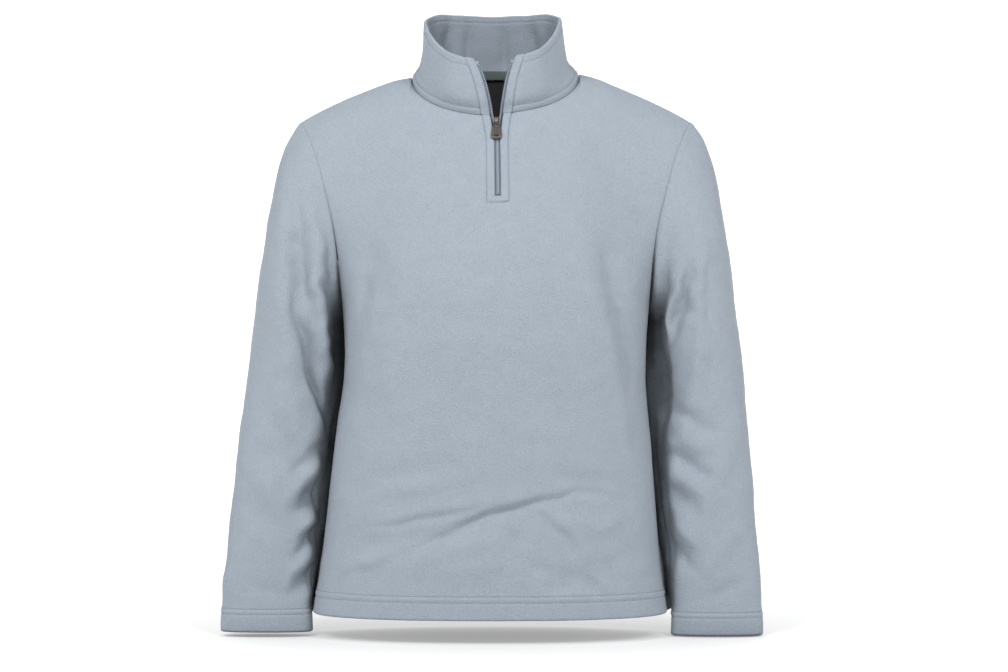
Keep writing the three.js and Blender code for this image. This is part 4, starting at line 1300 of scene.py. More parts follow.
def collar_cloth(net: Net) -> Cloth:
    """Relief of the collar."""
    p = net.points
    up, across = run_of(p), run_of(p, 1)
    to_top = up[-1:] - up
    long = across[:, -1:]
    to_zip = np.minimum(across, long - across)
    share = across / long
    height = up / up[-1:]
    away = ramp(to_zip, 14, 44)
    shift = np.zeros(p.shape[:2])
    for at, half_width, depth, slant in COLLAR_FOLDS:
        off = (share - at - slant * (height - 0.5)) * long
        body = ramp(height, 0, 0.35) * (1 - 0.75 * ramp(height, 0.55, 1))
        shift += depth * body * bell(off, half_width)
    shift = (shift + 0.7 * unevenness(p, 51, 45) * ramp(height, 0, 0.3)) * away
    relief = 0.6 * seam_dip(up) + groove(up - COLLAR_BASE_LINE, 0.7, 1.5)
    relief += groove(to_top - COLLAR_TOP_LINE, 0.5, 1.4) + 0.35 * bell(up - 4.8, 2.4)
    relief *= ramp(to_zip, PLACKET - 1.5, PLACKET + 1.5)
    relief += placket(to_zip - PLACKET) + zip_edge(to_zip) + 0.09 * unevenness(p, 52, 7)
    inner = groove(to_top - COLLAR_INNER_LINE, 1.1, 1.1) + 0.3 * unevenness(p, 53, 22) * away
    soft = np.zeros(p.shape[:2])
    soft[-1] = 1
    soft[:, [0, -1]] = 1
    thick = COLLAR_WALL - 1.0 * ramp(height, 0.92, 1)
    return Cloth("collar", net, shift, relief, thick, soft, inner)


# ------------------------------------------------------------------ finishes
def linear(colour: str) -> tuple[float, float, float, float]:
    """A display colour written as #RRGGBB, made linear."""
    parts = [int(colour[k:k + 2], 16) / 255 for k in (1, 3, 5)]
    return (*[c / 12.92 if c <= 0.04045 else ((c + 0.055) / 1.055) ** 2.4 for c in parts], 1.0)


class Graph:
    """A material's nodes, and the place in the object that they are read at."""

    def __init__(self, name: str) -> None:
        """Args: name: the material's name."""
        self.material = bpy.data.materials.new(name)
        self.material.use_nodes = True
        self.material.node_tree.nodes.clear()
        self.where = self.add("ShaderNodeTexCoord").outputs["Object"]

    def add(self, kind: str, inputs: dict | None = None, **settings: object) -> bpy.types.Node:
        """Adds a node.

        Args:
            kind: its type
            inputs: values, or sockets to link, by the input's name or place
            settings: its other properties

        Returns:
            the node
        """
        node = self.material.node_tree.nodes.new(kind)
        for key, value in settings.items():
            setattr(node, key, value)
        for key, value in (inputs or {}).items():
            if isinstance(value, bpy.types.NodeSocket):
                self.material.node_tree.links.new(value, node.inputs[key])
            else:
                node.inputs[key].default_value = value
        return node

    def noise(self, size: float, detail: float = 2.0) -> bpy.types.NodeSocket:
        """Noise whose features are about so many millimetres across."""
        inputs = {"Vector": self.where, "Scale": 1 / (size * MM), "Detail": detail}
        return self.add("ShaderNodeTexNoise", inputs).outputs["Fac"]

    def between(self, low: float, high: float, value: bpy.types.NodeSocket, start: float = 0.0,
                end: float = 1.0) -> bpy.types.NodeSocket:
        """A value from start to end spread between two others."""
        inputs = {"Value": value, "From Min": start, "From Max": end, "To Min": low, "To Max": high}
        return self.add("ShaderNodeMapRange", inputs).outputs["Result"]

    def mix(self, share: bpy.types.NodeSocket, a: object, b: object) -> bpy.types.NodeSocket:
        """A colour between two; the node's colour sockets are its seventh and eighth."""
        return self.add("ShaderNodeMix", {0: share, 6: a, 7: b}, data_type="RGBA").outputs[2]

    def openness(self, reach: float, samples: int) -> bpy.types.NodeSocket:
        """How much of the space so many metres round a place is free, from 0 to 1."""
        return self.add("ShaderNodeAmbientOcclusion", {"Distance": reach}, samples=samples).outputs["AO"]

    def bump(self, height: bpy.types.NodeSocket, deep: float, strength: float = 1.0,
             under: bpy.types.NodeSocket | None = None) -> bpy.types.NodeSocket:
        """A bump so many millimetres high, on another if one is given."""
        inputs = {"Height": height, "Distance": deep * MM, "Strength": strength}
        if under is not None:
            inputs["Normal"] = under
        return self.add("ShaderNodeBump", inputs).outputs["Normal"]

    def finish(self, inputs: dict) -> bpy.types.Material:
        """Closes the material with a principled surface."""
        surface = self.add("ShaderNodeBsdfPrincipled", inputs)
        self.add("ShaderNodeOutputMaterial", {"Surface": surface.outputs[0]})
        return self.material


@dataclass(frozen=True)
class Fleece:
    """Polyester microfleece, knitted and brushed on both faces: matt, with soft tufts of nap.

    Attributes:
        name: the material's name
        colour: the tufts' tops
        deep: the hollows between them
        tuft: a tuft's width
        nap: a tuft's height
        inner_painted_shade: a darker copy of the colour on the inner face, painted shade for the garment's
            dark inside
        hollow: near-black painted shade where the cloth lies crowded, in deep folds, seams and gaps
        sheen: the fibres' ends against the light
    """

    name: str
    colour: str = "#A1AAB3"
    deep: str = "#858F9A"
    tuft: float = 1.7
    nap: float = 1.15
    inner_painted_shade: str = "#858D97"
    hollow: str = "#151A1F"
    sheen: str = "#E9EEF3"

    def make(self) -> bpy.types.Material:
        """The material."""
        g = Graph(self.name)
        tufts = g.noise(self.tuft, 2.5)
        fibres = g.noise(0.7, 3.0)
        patches = g.noise(21.0, 1.0)
        tone = g.between(-0.15, 1.15, tufts)
        shade = g.mix(tone, linear(self.deep), linear(self.colour))
        tone_and_painted_shade = g.mix(g.between(-0.1, 0.35, patches), shade, linear(self.colour))
        # painted shade: the inner face takes a darker copy of the colour, for the dark inside of the
        # garment
        inner_painted_shade = g.add("ShaderNodeAttribute", attribute_name="inside").outputs["Fac"]
        tone_and_painted_shade = g.mix(inner_painted_shade, tone_and_painted_shade, linear(self.inner_painted_shade))
        # painted shade: the colour goes to near black where the space within 60 mm round the cloth is
        # crowded, in creases, seams and between sleeves and body
        lit = g.between(0.0, 1.0, g.openness(0.06, 6), 0.04, 0.56)
        tone_and_painted_shade = g.mix(lit, linear(self.hollow), tone_and_painted_shade)
        coarse = g.bump(tufts, self.nap)
        fine = g.bump(fibres, 0.3, 0.6, coarse)
        return g.finish({
            "Base Color": tone_and_painted_shade, "Roughness": 0.96, "Specular IOR Level": 0.18, "Normal": fine,
            "Sheen Weight": 0.28, "Sheen Roughness": 0.5, "Sheen Tint": linear(self.sheen),
        })


@dataclass(frozen=True)
class Thread:
    """Spun polyester sewing thread: a faint gloss along each stitch, a little darker than the cloth."""

    name: str
    colour: str
    twist: str = "#77869A"

    def make(self) -> bpy.types.Material:
        """The material."""
        g = Graph(self.name)
        tone = g.between(0.0, 1.0, g.noise(0.5, 1.0))
        colour = g.mix(tone, linear(self.colour), linear(self.twist))
        return g.finish({"Base Color": colour, "Roughness": 0.62, "Sheen Weight": 0.15,
                         "Sheen Roughness": 0.4, "Specular IOR Level": 0.35})


@dataclass(frozen=True)
class Weave:
    """Woven polyester tape: fine ribs that break the light up.

    Attributes:
        name: the material's name
        colour: the ribs' tops
        deep: between them
        rib: from one to the next
    """

    name: str
    colour: str
    deep: str
    rib: float = 0.7

    def make(self) -> bpy.types.Material:
        """The material."""
        g = Graph(self.name)
        scale = 2 * math.pi / 20 / (self.rib * MM)
        ribs = g.add("ShaderNodeTexWave", {"Vector": g.where, "Scale": scale, "Distortion": 1.2,
                                           "Detail": 1.0}, bands_direction="Z").outputs["Fac"]
        colour = g.mix(ribs, linear(self.deep), linear(self.colour))
        normal = g.bump(g.noise(0.5, 2.0), 0.1, 0.5, g.bump(ribs, 0.16, 0.7))
        return g.finish({"Base Color": colour, "Roughness": 0.82, "Normal": normal,
                         "Sheen Weight": 0.1, "Sheen Roughness": 0.5})


@dataclass(frozen=True)
class Nylon:
    """Drawn nylon filament: semi-gloss, so each turn of the coil takes a small highlight."""

    name: str
    colour: str

    def make(self) -> bpy.types.Material:
        """The material."""
        g = Graph(self.name)
        rough = g.between(0.3, 0.46, g.noise(1.5, 1.0))
        return g.finish({"Base Color": linear(self.colour), "Roughness": rough, "IOR": 1.53,
                         "Specular IOR Level": 0.5})


@dataclass(frozen=True)
class Plating:
    """Die-cast zinc with a plated and tumbled face: soft reflections, their roughness finely grained."""

    name: str
    colour: str
    rough: float

    def make(self) -> bpy.types.Material:
        """The material."""
        g = Graph(self.name)
        grain = g.noise(0.9, 3.0)
        rough = g.between(self.rough - 0.06, self.rough + 0.1, grain)
        return g.finish({"Base Color": linear(self.colour), "Metallic": 1.0, "Roughness": rough,
                         "Normal": g.bump(grain, 0.02, 0.5)})


@dataclass(frozen=True)
class Paper:
    """Matt studio paper that glows, its glow dimmed where something stands near it: a painted shadow.

    Attributes:
        name: the material's name
        colour: the paper
        white: its glow's colour
        glow: the floor's own glow
        behind: the wall's own glow
    """

    name: str
    colour: str = "#A0A0A0"
    white: str = "#F6F6F6"
    glow: float = 0.83
    behind: float = 1.15

    def make(self) -> bpy.types.Material:
        """The material."""
        g = Graph(self.name)
        rough = g.between(0.85, 0.95, g.noise(30.0, 1.0))
        back = g.add("ShaderNodeSeparateXYZ", {"Vector": g.where}).outputs["Y"]
        light = g.between(self.glow, self.behind, back, 0.3, 1.0)
        # painted shadow: the glow is dimmed where the space within 350 mm round the paper is crowded, under
        # the garment and its cuffs
        clear = g.between(0.3, 1.0, g.openness(0.35, 16), 0.06, 0.95)
        glow = g.add("ShaderNodeMath", {0: light, 1: clear}, operation="MULTIPLY").outputs["Value"]
        return g.finish({"Base Color": linear(self.colour), "Roughness": rough, "Specular IOR Level": 0.1,
                         "Emission Color": linear(self.white), "Emission Strength": glow})


# ------------------------------------------------------------------ putting pieces in the scene
def dress(piece: bpy.types.Object, finish: bpy.types.Material, slot: str, *nodes: str,
          body: str = "garment") -> bpy.types.Object:
    """Gives a piece its material and its body, and hides the solids that it stands for."""
    piece.data.materials.clear()
    piece.data.materials.append(finish)
    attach(piece, body)
    if nodes:
        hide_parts(*nodes)
    LOG.info("%s: %d faces, on %s", piece.name, len(piece.data.polygons), body)
    return piece


@dataclass(frozen=True)
class Cut:
    """The flat size of a cloth piece before sewing, in millimetres, and its area in square ones.

    Attributes:
        wide: across
        long: down
        area: of the cut
    """

    wide: float
    long: float
    area: float

    def declare(self, piece: bpy.types.Object, rests_on: list[str], with_pieces: list) -> None:
        """Takes the piece, what it is sewn to and its stitching, and does nothing with them."""


class Hard:
    """Small hard parts, modelled in millimetres in the zip's own frame and then put in place."""

    @staticmethod
    def chosen(piece: bpy.types.Object, *others: bpy.types.Object) -> None:
        """Selects a piece, which becomes the active one, and any others with it."""
        bpy.ops.object.select_all(action="DESELECT")
        for part in (piece, *others):
            part.select_set(True)
        bpy.context.view_layer.objects.active = piece

    @staticmethod
    def cube(name: str, size: Sequence[float], at: Sequence[float]) -> bpy.types.Object:
        """A box by its size and middle, alone selected."""
        bpy.ops.object.select_all(action="DESELECT")
        bpy.ops.mesh.primitive_cube_add(size=1, location=(0, 0, 0))
        made = bpy.context.object
        made.name = name
        sized = Matrix.Diagonal((*[s * MM for s in size], 1))
        made.data.transform(Matrix.Translation(Vector(at) * MM) @ sized)
        return made

    @staticmethod
    def pick(piece: bpy.types.Object, test: Callable[[Vector, Vector], bool]) -> None:
        """In edit mode, selects the faces whose middle and normal pass a test."""
        mesh = bmesh.from_edit_mesh(piece.data)
        bpy.ops.mesh.select_mode(type="FACE")
        bpy.ops.mesh.select_all(action="DESELECT")
        mesh.faces.ensure_lookup_table()
        for face in mesh.faces:
            if test(face.calc_center_median() / MM, face.normal):
                face.select = True
        mesh.select_flush(True)
        bmesh.update_edit_mesh(piece.data)

    @staticmethod
    def extrude(step: Vector, share: float, centre: Vector) -> None:
        """In edit mode, draws the selected faces out and scales their width about a centre."""
        bpy.ops.mesh.extrude_region_move(TRANSFORM_OT_translate={"value": step * MM})
        bpy.ops.transform.resize(value=(share, 1, 1), center_override=centre * MM)

    @staticmethod
    def bevel(piece: bpy.types.Object, width: float, segments: int = 3, angle: float = 35) -> None:
        """Rounds the sharp edges and shades the piece by angle."""
        Hard.chosen(piece)
        rounding = piece.modifiers.new("bevel", "BEVEL")
        rounding.width, rounding.segments = width * MM, segments
        rounding.limit_method, rounding.angle_limit = "ANGLE", math.radians(angle)
        bpy.ops.object.modifier_apply(modifier=rounding.name)
        bpy.ops.object.shade_smooth_by_angle(angle=math.radians(40))

    @staticmethod
    def cut(piece: bpy.types.Object, cutter: bpy.types.Object) -> None:
        """Takes one part away from another."""
        Hard.chosen(piece)
        away = piece.modifiers.new("cut", "BOOLEAN")
        away.object, away.operation, away.solver = cutter, "DIFFERENCE", "EXACT"
        bpy.ops.object.modifier_apply(modifier=away.name)
        bpy.data.objects.remove(cutter, do_unlink=True)

    @staticmethod
    def join(parts: list[bpy.types.Object]) -> bpy.types.Object:
        """Several parts as one object."""
        Hard.chosen(*parts)
        bpy.ops.object.join()
        return parts[0]

    @staticmethod
    def place(piece: bpy.types.Object, place: Matrix) -> None:
        """Puts a finished part's mesh in the garment's frame."""
        moved = place.copy()
        moved.translation = place.translation * MM
        piece.data.transform(moved)
        piece.data.update()


# ------------------------------------------------------------------ the garment
@dataclass
class Garment:
    """The cloth of the pullover."""

    fleece: Fleece = Fleece("microfleece_brushed")
    front_cut: Cut = Cut(623, 720, 345000)
    back_cut: Cut = Cut(569, 732, 347000)
    sleeve_cut: Cut = Cut(560, 665, 206000)
    collar_cut: Cut = Cut(545, 86, 40500)
    tape_cut: Cut = Cut(280, 10.2, 2850)
    shade_sheet_cut: Cut = Cut(SHADE_SHEET_WIDE, SHADE_SHEET_LONG, SHADE_SHEET_WIDE * SHADE_SHEET_LONG)

    def __post_init__(self) -> None:
        """Works out the sheets."""
        front, back = BodyPanel(Face.FRONT), BodyPanel(Face.BACK)
        sleeves = {side: sleeve_net(side, front, back) for side in Side}
        collar = collar_net(front, back)
        sew([front.net, back.net, *sleeves.values(), collar])
        self.panels = {Face.FRONT: front, Face.BACK: back}
        self.front, self.back = body_cloth(front), body_cloth(back)
        self.sleeves = {side: sleeve_cloth(side, net) for side, net in sleeves.items()}
        self.collar = collar_cloth(collar)

    def build(self) -> None:
        """Makes the cloth pieces and their stitching."""
        finish = self.fleece.make()
        rows = self.stitching(Thread("polyester_thread_spun", "#66748A").make(),
                              Thread("polyester_thread_matched", "#8794A2").make())
        cuts = {"front": self.front_cut, "back": self.back_cut, "collar": self.collar_cut,
                "sleeve_right": self.sleeve_cut, "sleeve_left": self.sleeve_cut}
        for cloth in (self.front, self.back, *self.sleeves.values(), self.collar):
            piece = dress(cloth.build(), finish, cloth.name, cloth.name)
            LOG.info("%s: %.0f mm across, %.0f down", cloth.name,
                     run_of(cloth.face, 1)[:, -1].max(), run_of(cloth.face)[-1].max())
            on = "back" if cloth.name in ("front", "collar") else "front"
            cuts[cloth.name].declare(piece, [on], rows.get(cloth.name, []))
        self.neck_tape()
        self.label()

    def placket_front(self) -> tuple[Array, Array]:
        """The stitches round the zip on the front: down one side, across below it and up the other."""
        net = self.front.net
        rows = np.arange(len(net.points))
        z = net.points[:, self.panels[Face.FRONT].slot[0], 2]
        foot = float(np.interp(PLACKET_FOOT_Z, z, rows))
        levels = np.concatenate([[foot], rows[rows > foot]])
        sides = np.zeros((2, len(levels)))
        for k, level in enumerate(levels):
            low = min(int(level), len(rows) - 2)
            here = lerp(net.points[low], net.points[low + 1], level - low)[:, 0]
            height = float(np.interp(level, rows, z))
            x, half, _ = FORM.zip_line(height)
            edges = x + FORM.body_lean(height) + np.array([-1, 1]) * (half + PLACKET)
            sides[:, k] = np.interp(edges, here, np.arange(len(here)))
        across = np.linspace(*sides[:, 0], 16)[1:-1]
        row = np.concatenate([levels[::-1], np.full(len(across), foot), levels])
        return self.front.along(row, np.concatenate([sides[0, ::-1], across, sides[1]]))

    def placket_collar(self) -> list[tuple[Array, Array]]:
        """The stitches up both sides of the zip on the collar, as far as the row along its top."""
        run = run_of(self.collar.net.points, 1)
        top_row = self.collar.rows_at(COLLAR_TOP_LINE, True)
        levels, columns = (np.arange(count, dtype=float) for count in run.shape)
        lines = []
        for away, order in ((run, columns), ((run[:, -1:] - run)[:, ::-1], columns[::-1])):
            at = np.array([np.interp(PLACKET, level, order) for level in away])
            keep = levels < top_row[int(round(at[-1]))]
            lines.append(self.collar.along(levels[keep], at[keep]))
        return lines

    def collar_rows(self) -> list[tuple[Array, Array]]:
        """The rows along the collar's foot and top, between the rows beside the zip."""
        across = run_of(self.collar.net.points, 1)
        lines = []
        for distance, from_end in ((COLLAR_BASE_LINE, False), (COLLAR_TOP_LINE, True)):
            points, normals = self.collar.edge_line(distance, from_end)
            middle = across[len(across) - 4 if from_end else 8]
            inside = (middle > PLACKET) & (middle < middle[-1] - PLACKET)
            lines.append((points[inside], normals[inside]))
        return lines

    def stitching(self, dark: bpy.types.Material,
                  pale: bpy.types.Material) -> dict[str, list[bpy.types.Object]]:
        """All rows of stitches, by the cloth they are on."""
        row = StitchRow()
        made: dict[str, list[bpy.types.Object]] = {}

        def lay(name: str, cloth: str, lines: list[tuple[Array, Array]], seed: int) -> None:
            """Makes one object of several rows."""
            parts = [row.lay(p, n, seed + k) for k, (p, n) in enumerate(lines)]
            piece = dress(mesh_object(name, *joined(parts)), dark if "zip" in name else pale, cloth)
            made.setdefault(cloth, []).append(piece)

        for cloth in (self.front, self.back):
            lines = [cloth.edge_line(d, False) for d in HEM_LINES]
            lay(f"{cloth.name}_hem_stitching", cloth.name, lines, 100)
        for side, cloth in self.sleeves.items():
            lines = [cloth.edge_line(d, True) for d in CUFF_LINES]
            lay(f"{cloth.name}_cuff_stitching", cloth.name, lines, 200 + side.value)
        lay("zip_front_stitching", "front", [self.placket_front()], 300)
        lay("zip_collar_stitching", "collar", self.placket_collar(), 310)
        lay("collar_stitching", "collar", self.collar_rows(), 320)
        return made

    def neck_tape(self) -> None:
        """The tape over the neck seam inside, from one shoulder seam round the back to the other."""
        collar, front = self.collar, self.panels[Face.FRONT]
        first = front.slot[0] - front.neck[0]
        columns = np.arange(first, collar.net.points.shape[1] - first, dtype=float)
        height = run_of(collar.net.points)
        share = (height / height[-1:])[:, 0]
        rows = np.interp(np.linspace(*NECK_TAPE, NECK_TAPE_POINTS), share, np.arange(len(share)))
        inner, normals = collar.inner_grid(rows, columns)
        edge = to_end(NECK_TAPE_POINTS)[:, None] / (NECK_TAPE_POINTS // 2)
        flat = np.zeros(inner.shape[:2])
        tape = Cloth("neck_tape", Net(inner - normals * 1.1), flat, flat + 0.35 * smooth(edge), flat + 0.7,
                     flat + 1)
        finish = Weave("neck_tape_twill", "#525C5A", "#3A4140", 0.9).make()
        piece = dress(tape.build(), finish, "neck_tape", "neck_tape")
        self.tape_cut.declare(piece, ["collar"], [])

    def label(self) -> None:
        """A plain near-black sheet under the neck tape, on the inside of the back: painted shade for the
        dark inside seen through the zip's opening.
        """
        back, middle = self.back, len(self.panels[Face.BACK].us) // 2
        run, across = run_of(back.net.points), run_of(back.net.points, 1)
        down = np.linspace(SHADE_SHEET_LONG + SHADE_SHEET_BELOW, SHADE_SHEET_BELOW, SHADE_SHEET_POINTS)
        rows = np.interp(down, (run[-1] - run)[::-1, middle], np.arange(len(run))[::-1])
        level = across[-3] - across[-3, middle]
        aside = np.linspace(-SHADE_SHEET_WIDE / 2, SHADE_SHEET_WIDE / 2, SHADE_SHEET_POINTS)
        inner, normals = back.inner_grid(rows, np.interp(aside, level, np.arange(len(level))))
        edge = to_end(SHADE_SHEET_POINTS)
        rise = 1.2 - 0.5 * ramp(np.minimum(edge[:, None], edge[None]), 2, 0)
        flat = np.zeros(inner.shape[:2])
        net = Net(inner - normals * rise[..., None])
        piece = Cloth("neck_shade_sheet", net, flat, flat, flat + 0.5, flat + 1).build()
        # painted shade: near-black colour for the dark inside of the back
        finish = Weave("shade_sheet_satin_woven", "#2D282A", "#211E1F", 0.5).make()
        self.shade_sheet_cut.declare(dress(piece, finish, "neck_tape"), ["back"], [])


@dataclass
class Station:
    """Places up one side of the zip.

    Attributes:
        edge: n x 3, where the fleece ends
        inward: the way into the garment
        across: the way to the zip's middle
        reach: how far in the coil's inner edge stands
        under: the end of the tape hidden below the fleece, or the fleece's edge on the collar
    """

    edge: Array
    inward: Array
    across: Array
    reach: Array
    under: Array

    @property
    def coil(self) -> Array:
        """The middle of the coil at each place."""
        return (self.edge + self.across * (self.reach + LIP - COIL_WIDE / 2)[:, None]
                + self.inward * (COIL_DOWN + COIL_THICK / 2))


@dataclass
class Zip:
    """The zip: tapes, coils, stops, slider and pull tab.

    Attributes:
        garment: the cloth it is sewn in
        tape_cut: one tape's flat size
        slider_long: the slider's length
        slider_half_top: half its width at the shoulders
        face_top: its front face, out from the fleece's face
        back_top: the front of its rear plate
        foot: how many places up from the tape's end the coil begins
    """

    garment: Garment
    tape_cut: Cut = Cut(12.3, 181, 2220)
    slider_long: float = 13.5
    slider_half_top: float = 4.25
    face_top: float = 0.85
    back_top: float = -3.95
    foot: int = 3

    def stations(self, side: Side) -> Station:
        """The places up one side, from just below the foot to the top of the coil."""
        panel, cloth = self.garment.panels[Face.FRONT], self.garment.front
        column = panel.slot[0] if side is Side.RIGHT else panel.slot[1]
        rows = np.arange(SLOT_ROW - 3, cloth.net.points.shape[0] - 1)
        p, n = cloth.net.points[rows, column], cloth.net.normals[rows, column]
        beside = column + side.value * 6
        away = unit(cloth.net.points[rows, beside] - p)
        across = np.tile([-side.value, 0.0, 0.0], (len(rows), 1))
        low = Station(p, -n, across, FORM.zip_line(p[:, 2])[:, 2], p + away * TAPE_UNDER)
        net = self.garment.collar.net
        end, step = (0, 1) if side is Side.RIGHT else (-1, -1)
        height = run_of(net.points)[:, end]
        up = np.arange(len(height))[(height > 1.5) & (height < COLLAR_ZIP_TOP * height[-1])]
        q, m = net.points[up, end], net.normals[up, end]
        away = unit(q - net.points[up, end + step * 3])
        high = Station(q, -m, away, FORM.zip_line(q[:, 2])[:, 2], q + away * TAPE_START)
        names = [k.name for k in fields(Station)]
        return Station(*[np.concatenate([getattr(low, k), getattr(high, k)]) for k in names])

    def build(self) -> None:
        """Makes every piece of the zip."""
        woven = Weave("zip_tape_woven", "#2E3946", "#1E2731", 0.65).make()
        drawn = Nylon("coil_nylon_drawn", "#C6D5E2").make()
        moulded = Nylon("stop_nylon_moulded", "#4C5B6C").make()
        thread = Thread("coil_thread_spun", "#28323D").make()
        nickel = Plating("slider_nickel_plated", "#6E6A65", 0.38).make()
        gunmetal = Plating("pull_gunmetal_plated", "#514D4B", 0.42).make()
        # painted shade: the cord is near black so that the gaps between the coil's turns read dark
        painted_shade_cord = Thread("coil_cord_painted_shade", "#10151B").make()
        silver = Plating("stop_aluminium_pressed", "#B4B9BD", 0.4).make()
        for side in Side:
            s = self.stations(side)
            tape = dress(self.tape(side, s), woven, f"zip_tape_{side.word}", f"zip_tape_{side.word}")
            rows = dress(self.coil_thread(side, s), thread, f"zip_tape_{side.word}")
            self.tape_cut.declare(tape, ["front", "collar"], [rows])
            dress(self.coil(side, s), drawn, f"zip_coil_{side.word}", f"zip_coil_{side.word}")
            dress(self.core(side, s), painted_shade_cord, f"zip_tape_{side.word}")
            dress(self.top_stop(side, s), silver, f"zip_top_stop_{side.word}", f"zip_top_stop_{side.word}")
        dress(self.bottom_stop(), moulded, "zip_bottom_stop", "zip_bottom_stop")
        dress(self.slider(), nickel, "zip_slider", "zip_slider")
        dress(self.pull(), gunmetal, "zip_pull", "zip_pull", body="pull_tab")

    def tape(self, side: Side, s: Station) -> bpy.types.Object:
        """A tape from below the fleece to under the coil."""
        inner = s.edge + s.across * (s.reach + LIP)[:, None]
        middle = s.edge + s.across * 0.5
        hidden = lerp(s.under[:, None], middle[:, None], np.linspace(0, 1, 5)[:, None])
        seen = lerp(middle[:, None], inner[:, None], np.linspace(0, 1, 7)[1:, None])
        net = Net(np.concatenate([hidden, seen], axis=1), -float(side.value))
        if (net.normals * -s.inward[:, None]).sum() < 0:
            net = Net(net.points, -net.outward)
        flat = np.zeros(net.points.shape[:2])
        cloth = Cloth(f"zip_tape_{side.word}", net, flat - TAPE_DOWN, flat, flat + TAPE_THICK, flat + 0.6)
        return cloth.build()

    def coil_line(self, s: Station) -> tuple[Array, Array, Array]:
        """The coil's middle line, its way out and its way across, evenly spaced."""
        p, out, across = s.coil[self.foot:], -s.inward[self.foot:], s.across[self.foot:]
        run = run_of(p)
        at = np.linspace(0, run[-1], int(run[-1] / COIL_STEP))
        return read_at(at, run, p), unit(read_at(at, run, out)), unit(read_at(at, run, across))

    def coil(self, side: Side, s: Station) -> bpy.types.Object:
        """A flattened spiral of filament; the two sides' turns lie half a pitch apart."""
        line = self.coil_line(s)
        run = run_of(line[0])
        at = np.linspace(0, run[-1], int(run[-1] / COIL_PITCH) * TURN_POINTS)
        phase = (0.0 if side is Side.RIGHT else math.pi) + at / COIL_PITCH * 2 * math.pi
        centre, up, way = (read_at(at, run, w) for w in line)
        closed = 0.18 * ramp(centre[:, 2], SLIDER_Z + 2, SLIDER_Z - 4)[:, None]
        wide = COIL_WIDE / 2 - FILAMENT + closed
        turns = centre + way * (wide * np.cos(phase)[:, None] + closed)
        turns = turns + up * (COIL_THICK / 2 - FILAMENT) * np.sin(phase)[:, None]
        return mesh_object(f"coil_spiral_{side.word}", *tube(turns, up, FILAMENT))

    def core(self, side: Side, s: Station) -> bpy.types.Object:
        """The cord inside the coil, which hides the far half of each turn; it is near black, painted shade
        between the turns.
        """
        p, out, across = self.coil_line(s)
        strands = [tube((p + across * aside)[::12], out[::12], CORD) for aside in CORDS_AT]
        return mesh_object(f"coil_cord_{side.word}", *joined(strands))

    def coil_thread(self, side: Side, s: Station) -> bpy.types.Object:
        """Two rows of thread that hold the coil to its tape."""
        p, out, across = self.coil_line(s)
        parts = []
        for k, aside in enumerate(THREADS_AT):
            path = p + across * aside + out * (COIL_THICK / 2 - 0.1)
            parts.append(StitchRow(1.7, 0.35, 0.17).lay(path, out, 400 + k))
        return mesh_object(f"zip_coil_thread_{side.word}", *joined(parts))

    def top_stop(self, side: Side, s: Station) -> bpy.types.Object:
        """A pressed stop above the coil's last turn."""
        up = Vector(s.edge[-1] - s.edge[-4]).normalized()
        across = Vector(s.across[-1])
        across = (across - up * across.dot(up)).normalized()
        out = across.cross(up)
        if out.dot(Vector(-s.inward[-1])) < 0:
            out = -out
        size = (COIL_WIDE + 0.7, 3.2, COIL_THICK + 0.5)
        piece = Hard.cube(f"top_stop_pressed_{side.word}", size, (0, 0, 0))
        Hard.bevel(piece, 0.5, 4)
        Hard.place(piece, frame_of(up.cross(out), up, out, s.coil[-1]))
        return piece

    def bottom_stop(self) -> bpy.types.Object:
        """The moulded stop across both coils."""
        piece = Hard.cube("bottom_stop_moulded", (5.8, 2.8, 2.0), (0, 2, -COIL_DOWN - COIL_THICK / 2))
        Hard.bevel(piece, 0.45, 4)
        Hard.place(piece, FORM.zip_frame(SLOT_FOOT_Z))
        return piece

    def plate(self, name: str, low: float, high: float) -> bpy.types.Object:
        """One of the slider's plates: broad shoulders and a narrower foot."""
        size = (self.slider_half_top * 2, self.slider_long, high - low)
        piece = Hard.cube(name, size, (0, 0, (low + high) / 2))
        bpy.ops.object.mode_set(mode="EDIT")
        bpy.ops.mesh.select_all(action="SELECT")
        bpy.ops.mesh.subdivide(number_cuts=3)
        for share, width in PLATE_WIDTHS:
            level = share * self.slider_long
            mesh = bmesh.from_edit_mesh(piece.data)
            bpy.ops.mesh.select_mode(type="VERT")
            bpy.ops.mesh.select_all(action="DESELECT")
            for v in mesh.verts:
                v.select = abs(v.co.y / MM - level) < 0.3
            mesh.select_flush_mode()
            bmesh.update_edit_mesh(piece.data)
            bpy.ops.transform.resize(value=(width, 1, 1), center_override=(0, level * MM, 0))
        bpy.ops.object.mode_set(mode="OBJECT")
        Hard.bevel(piece, 0.3, 3, 50)
        return piece

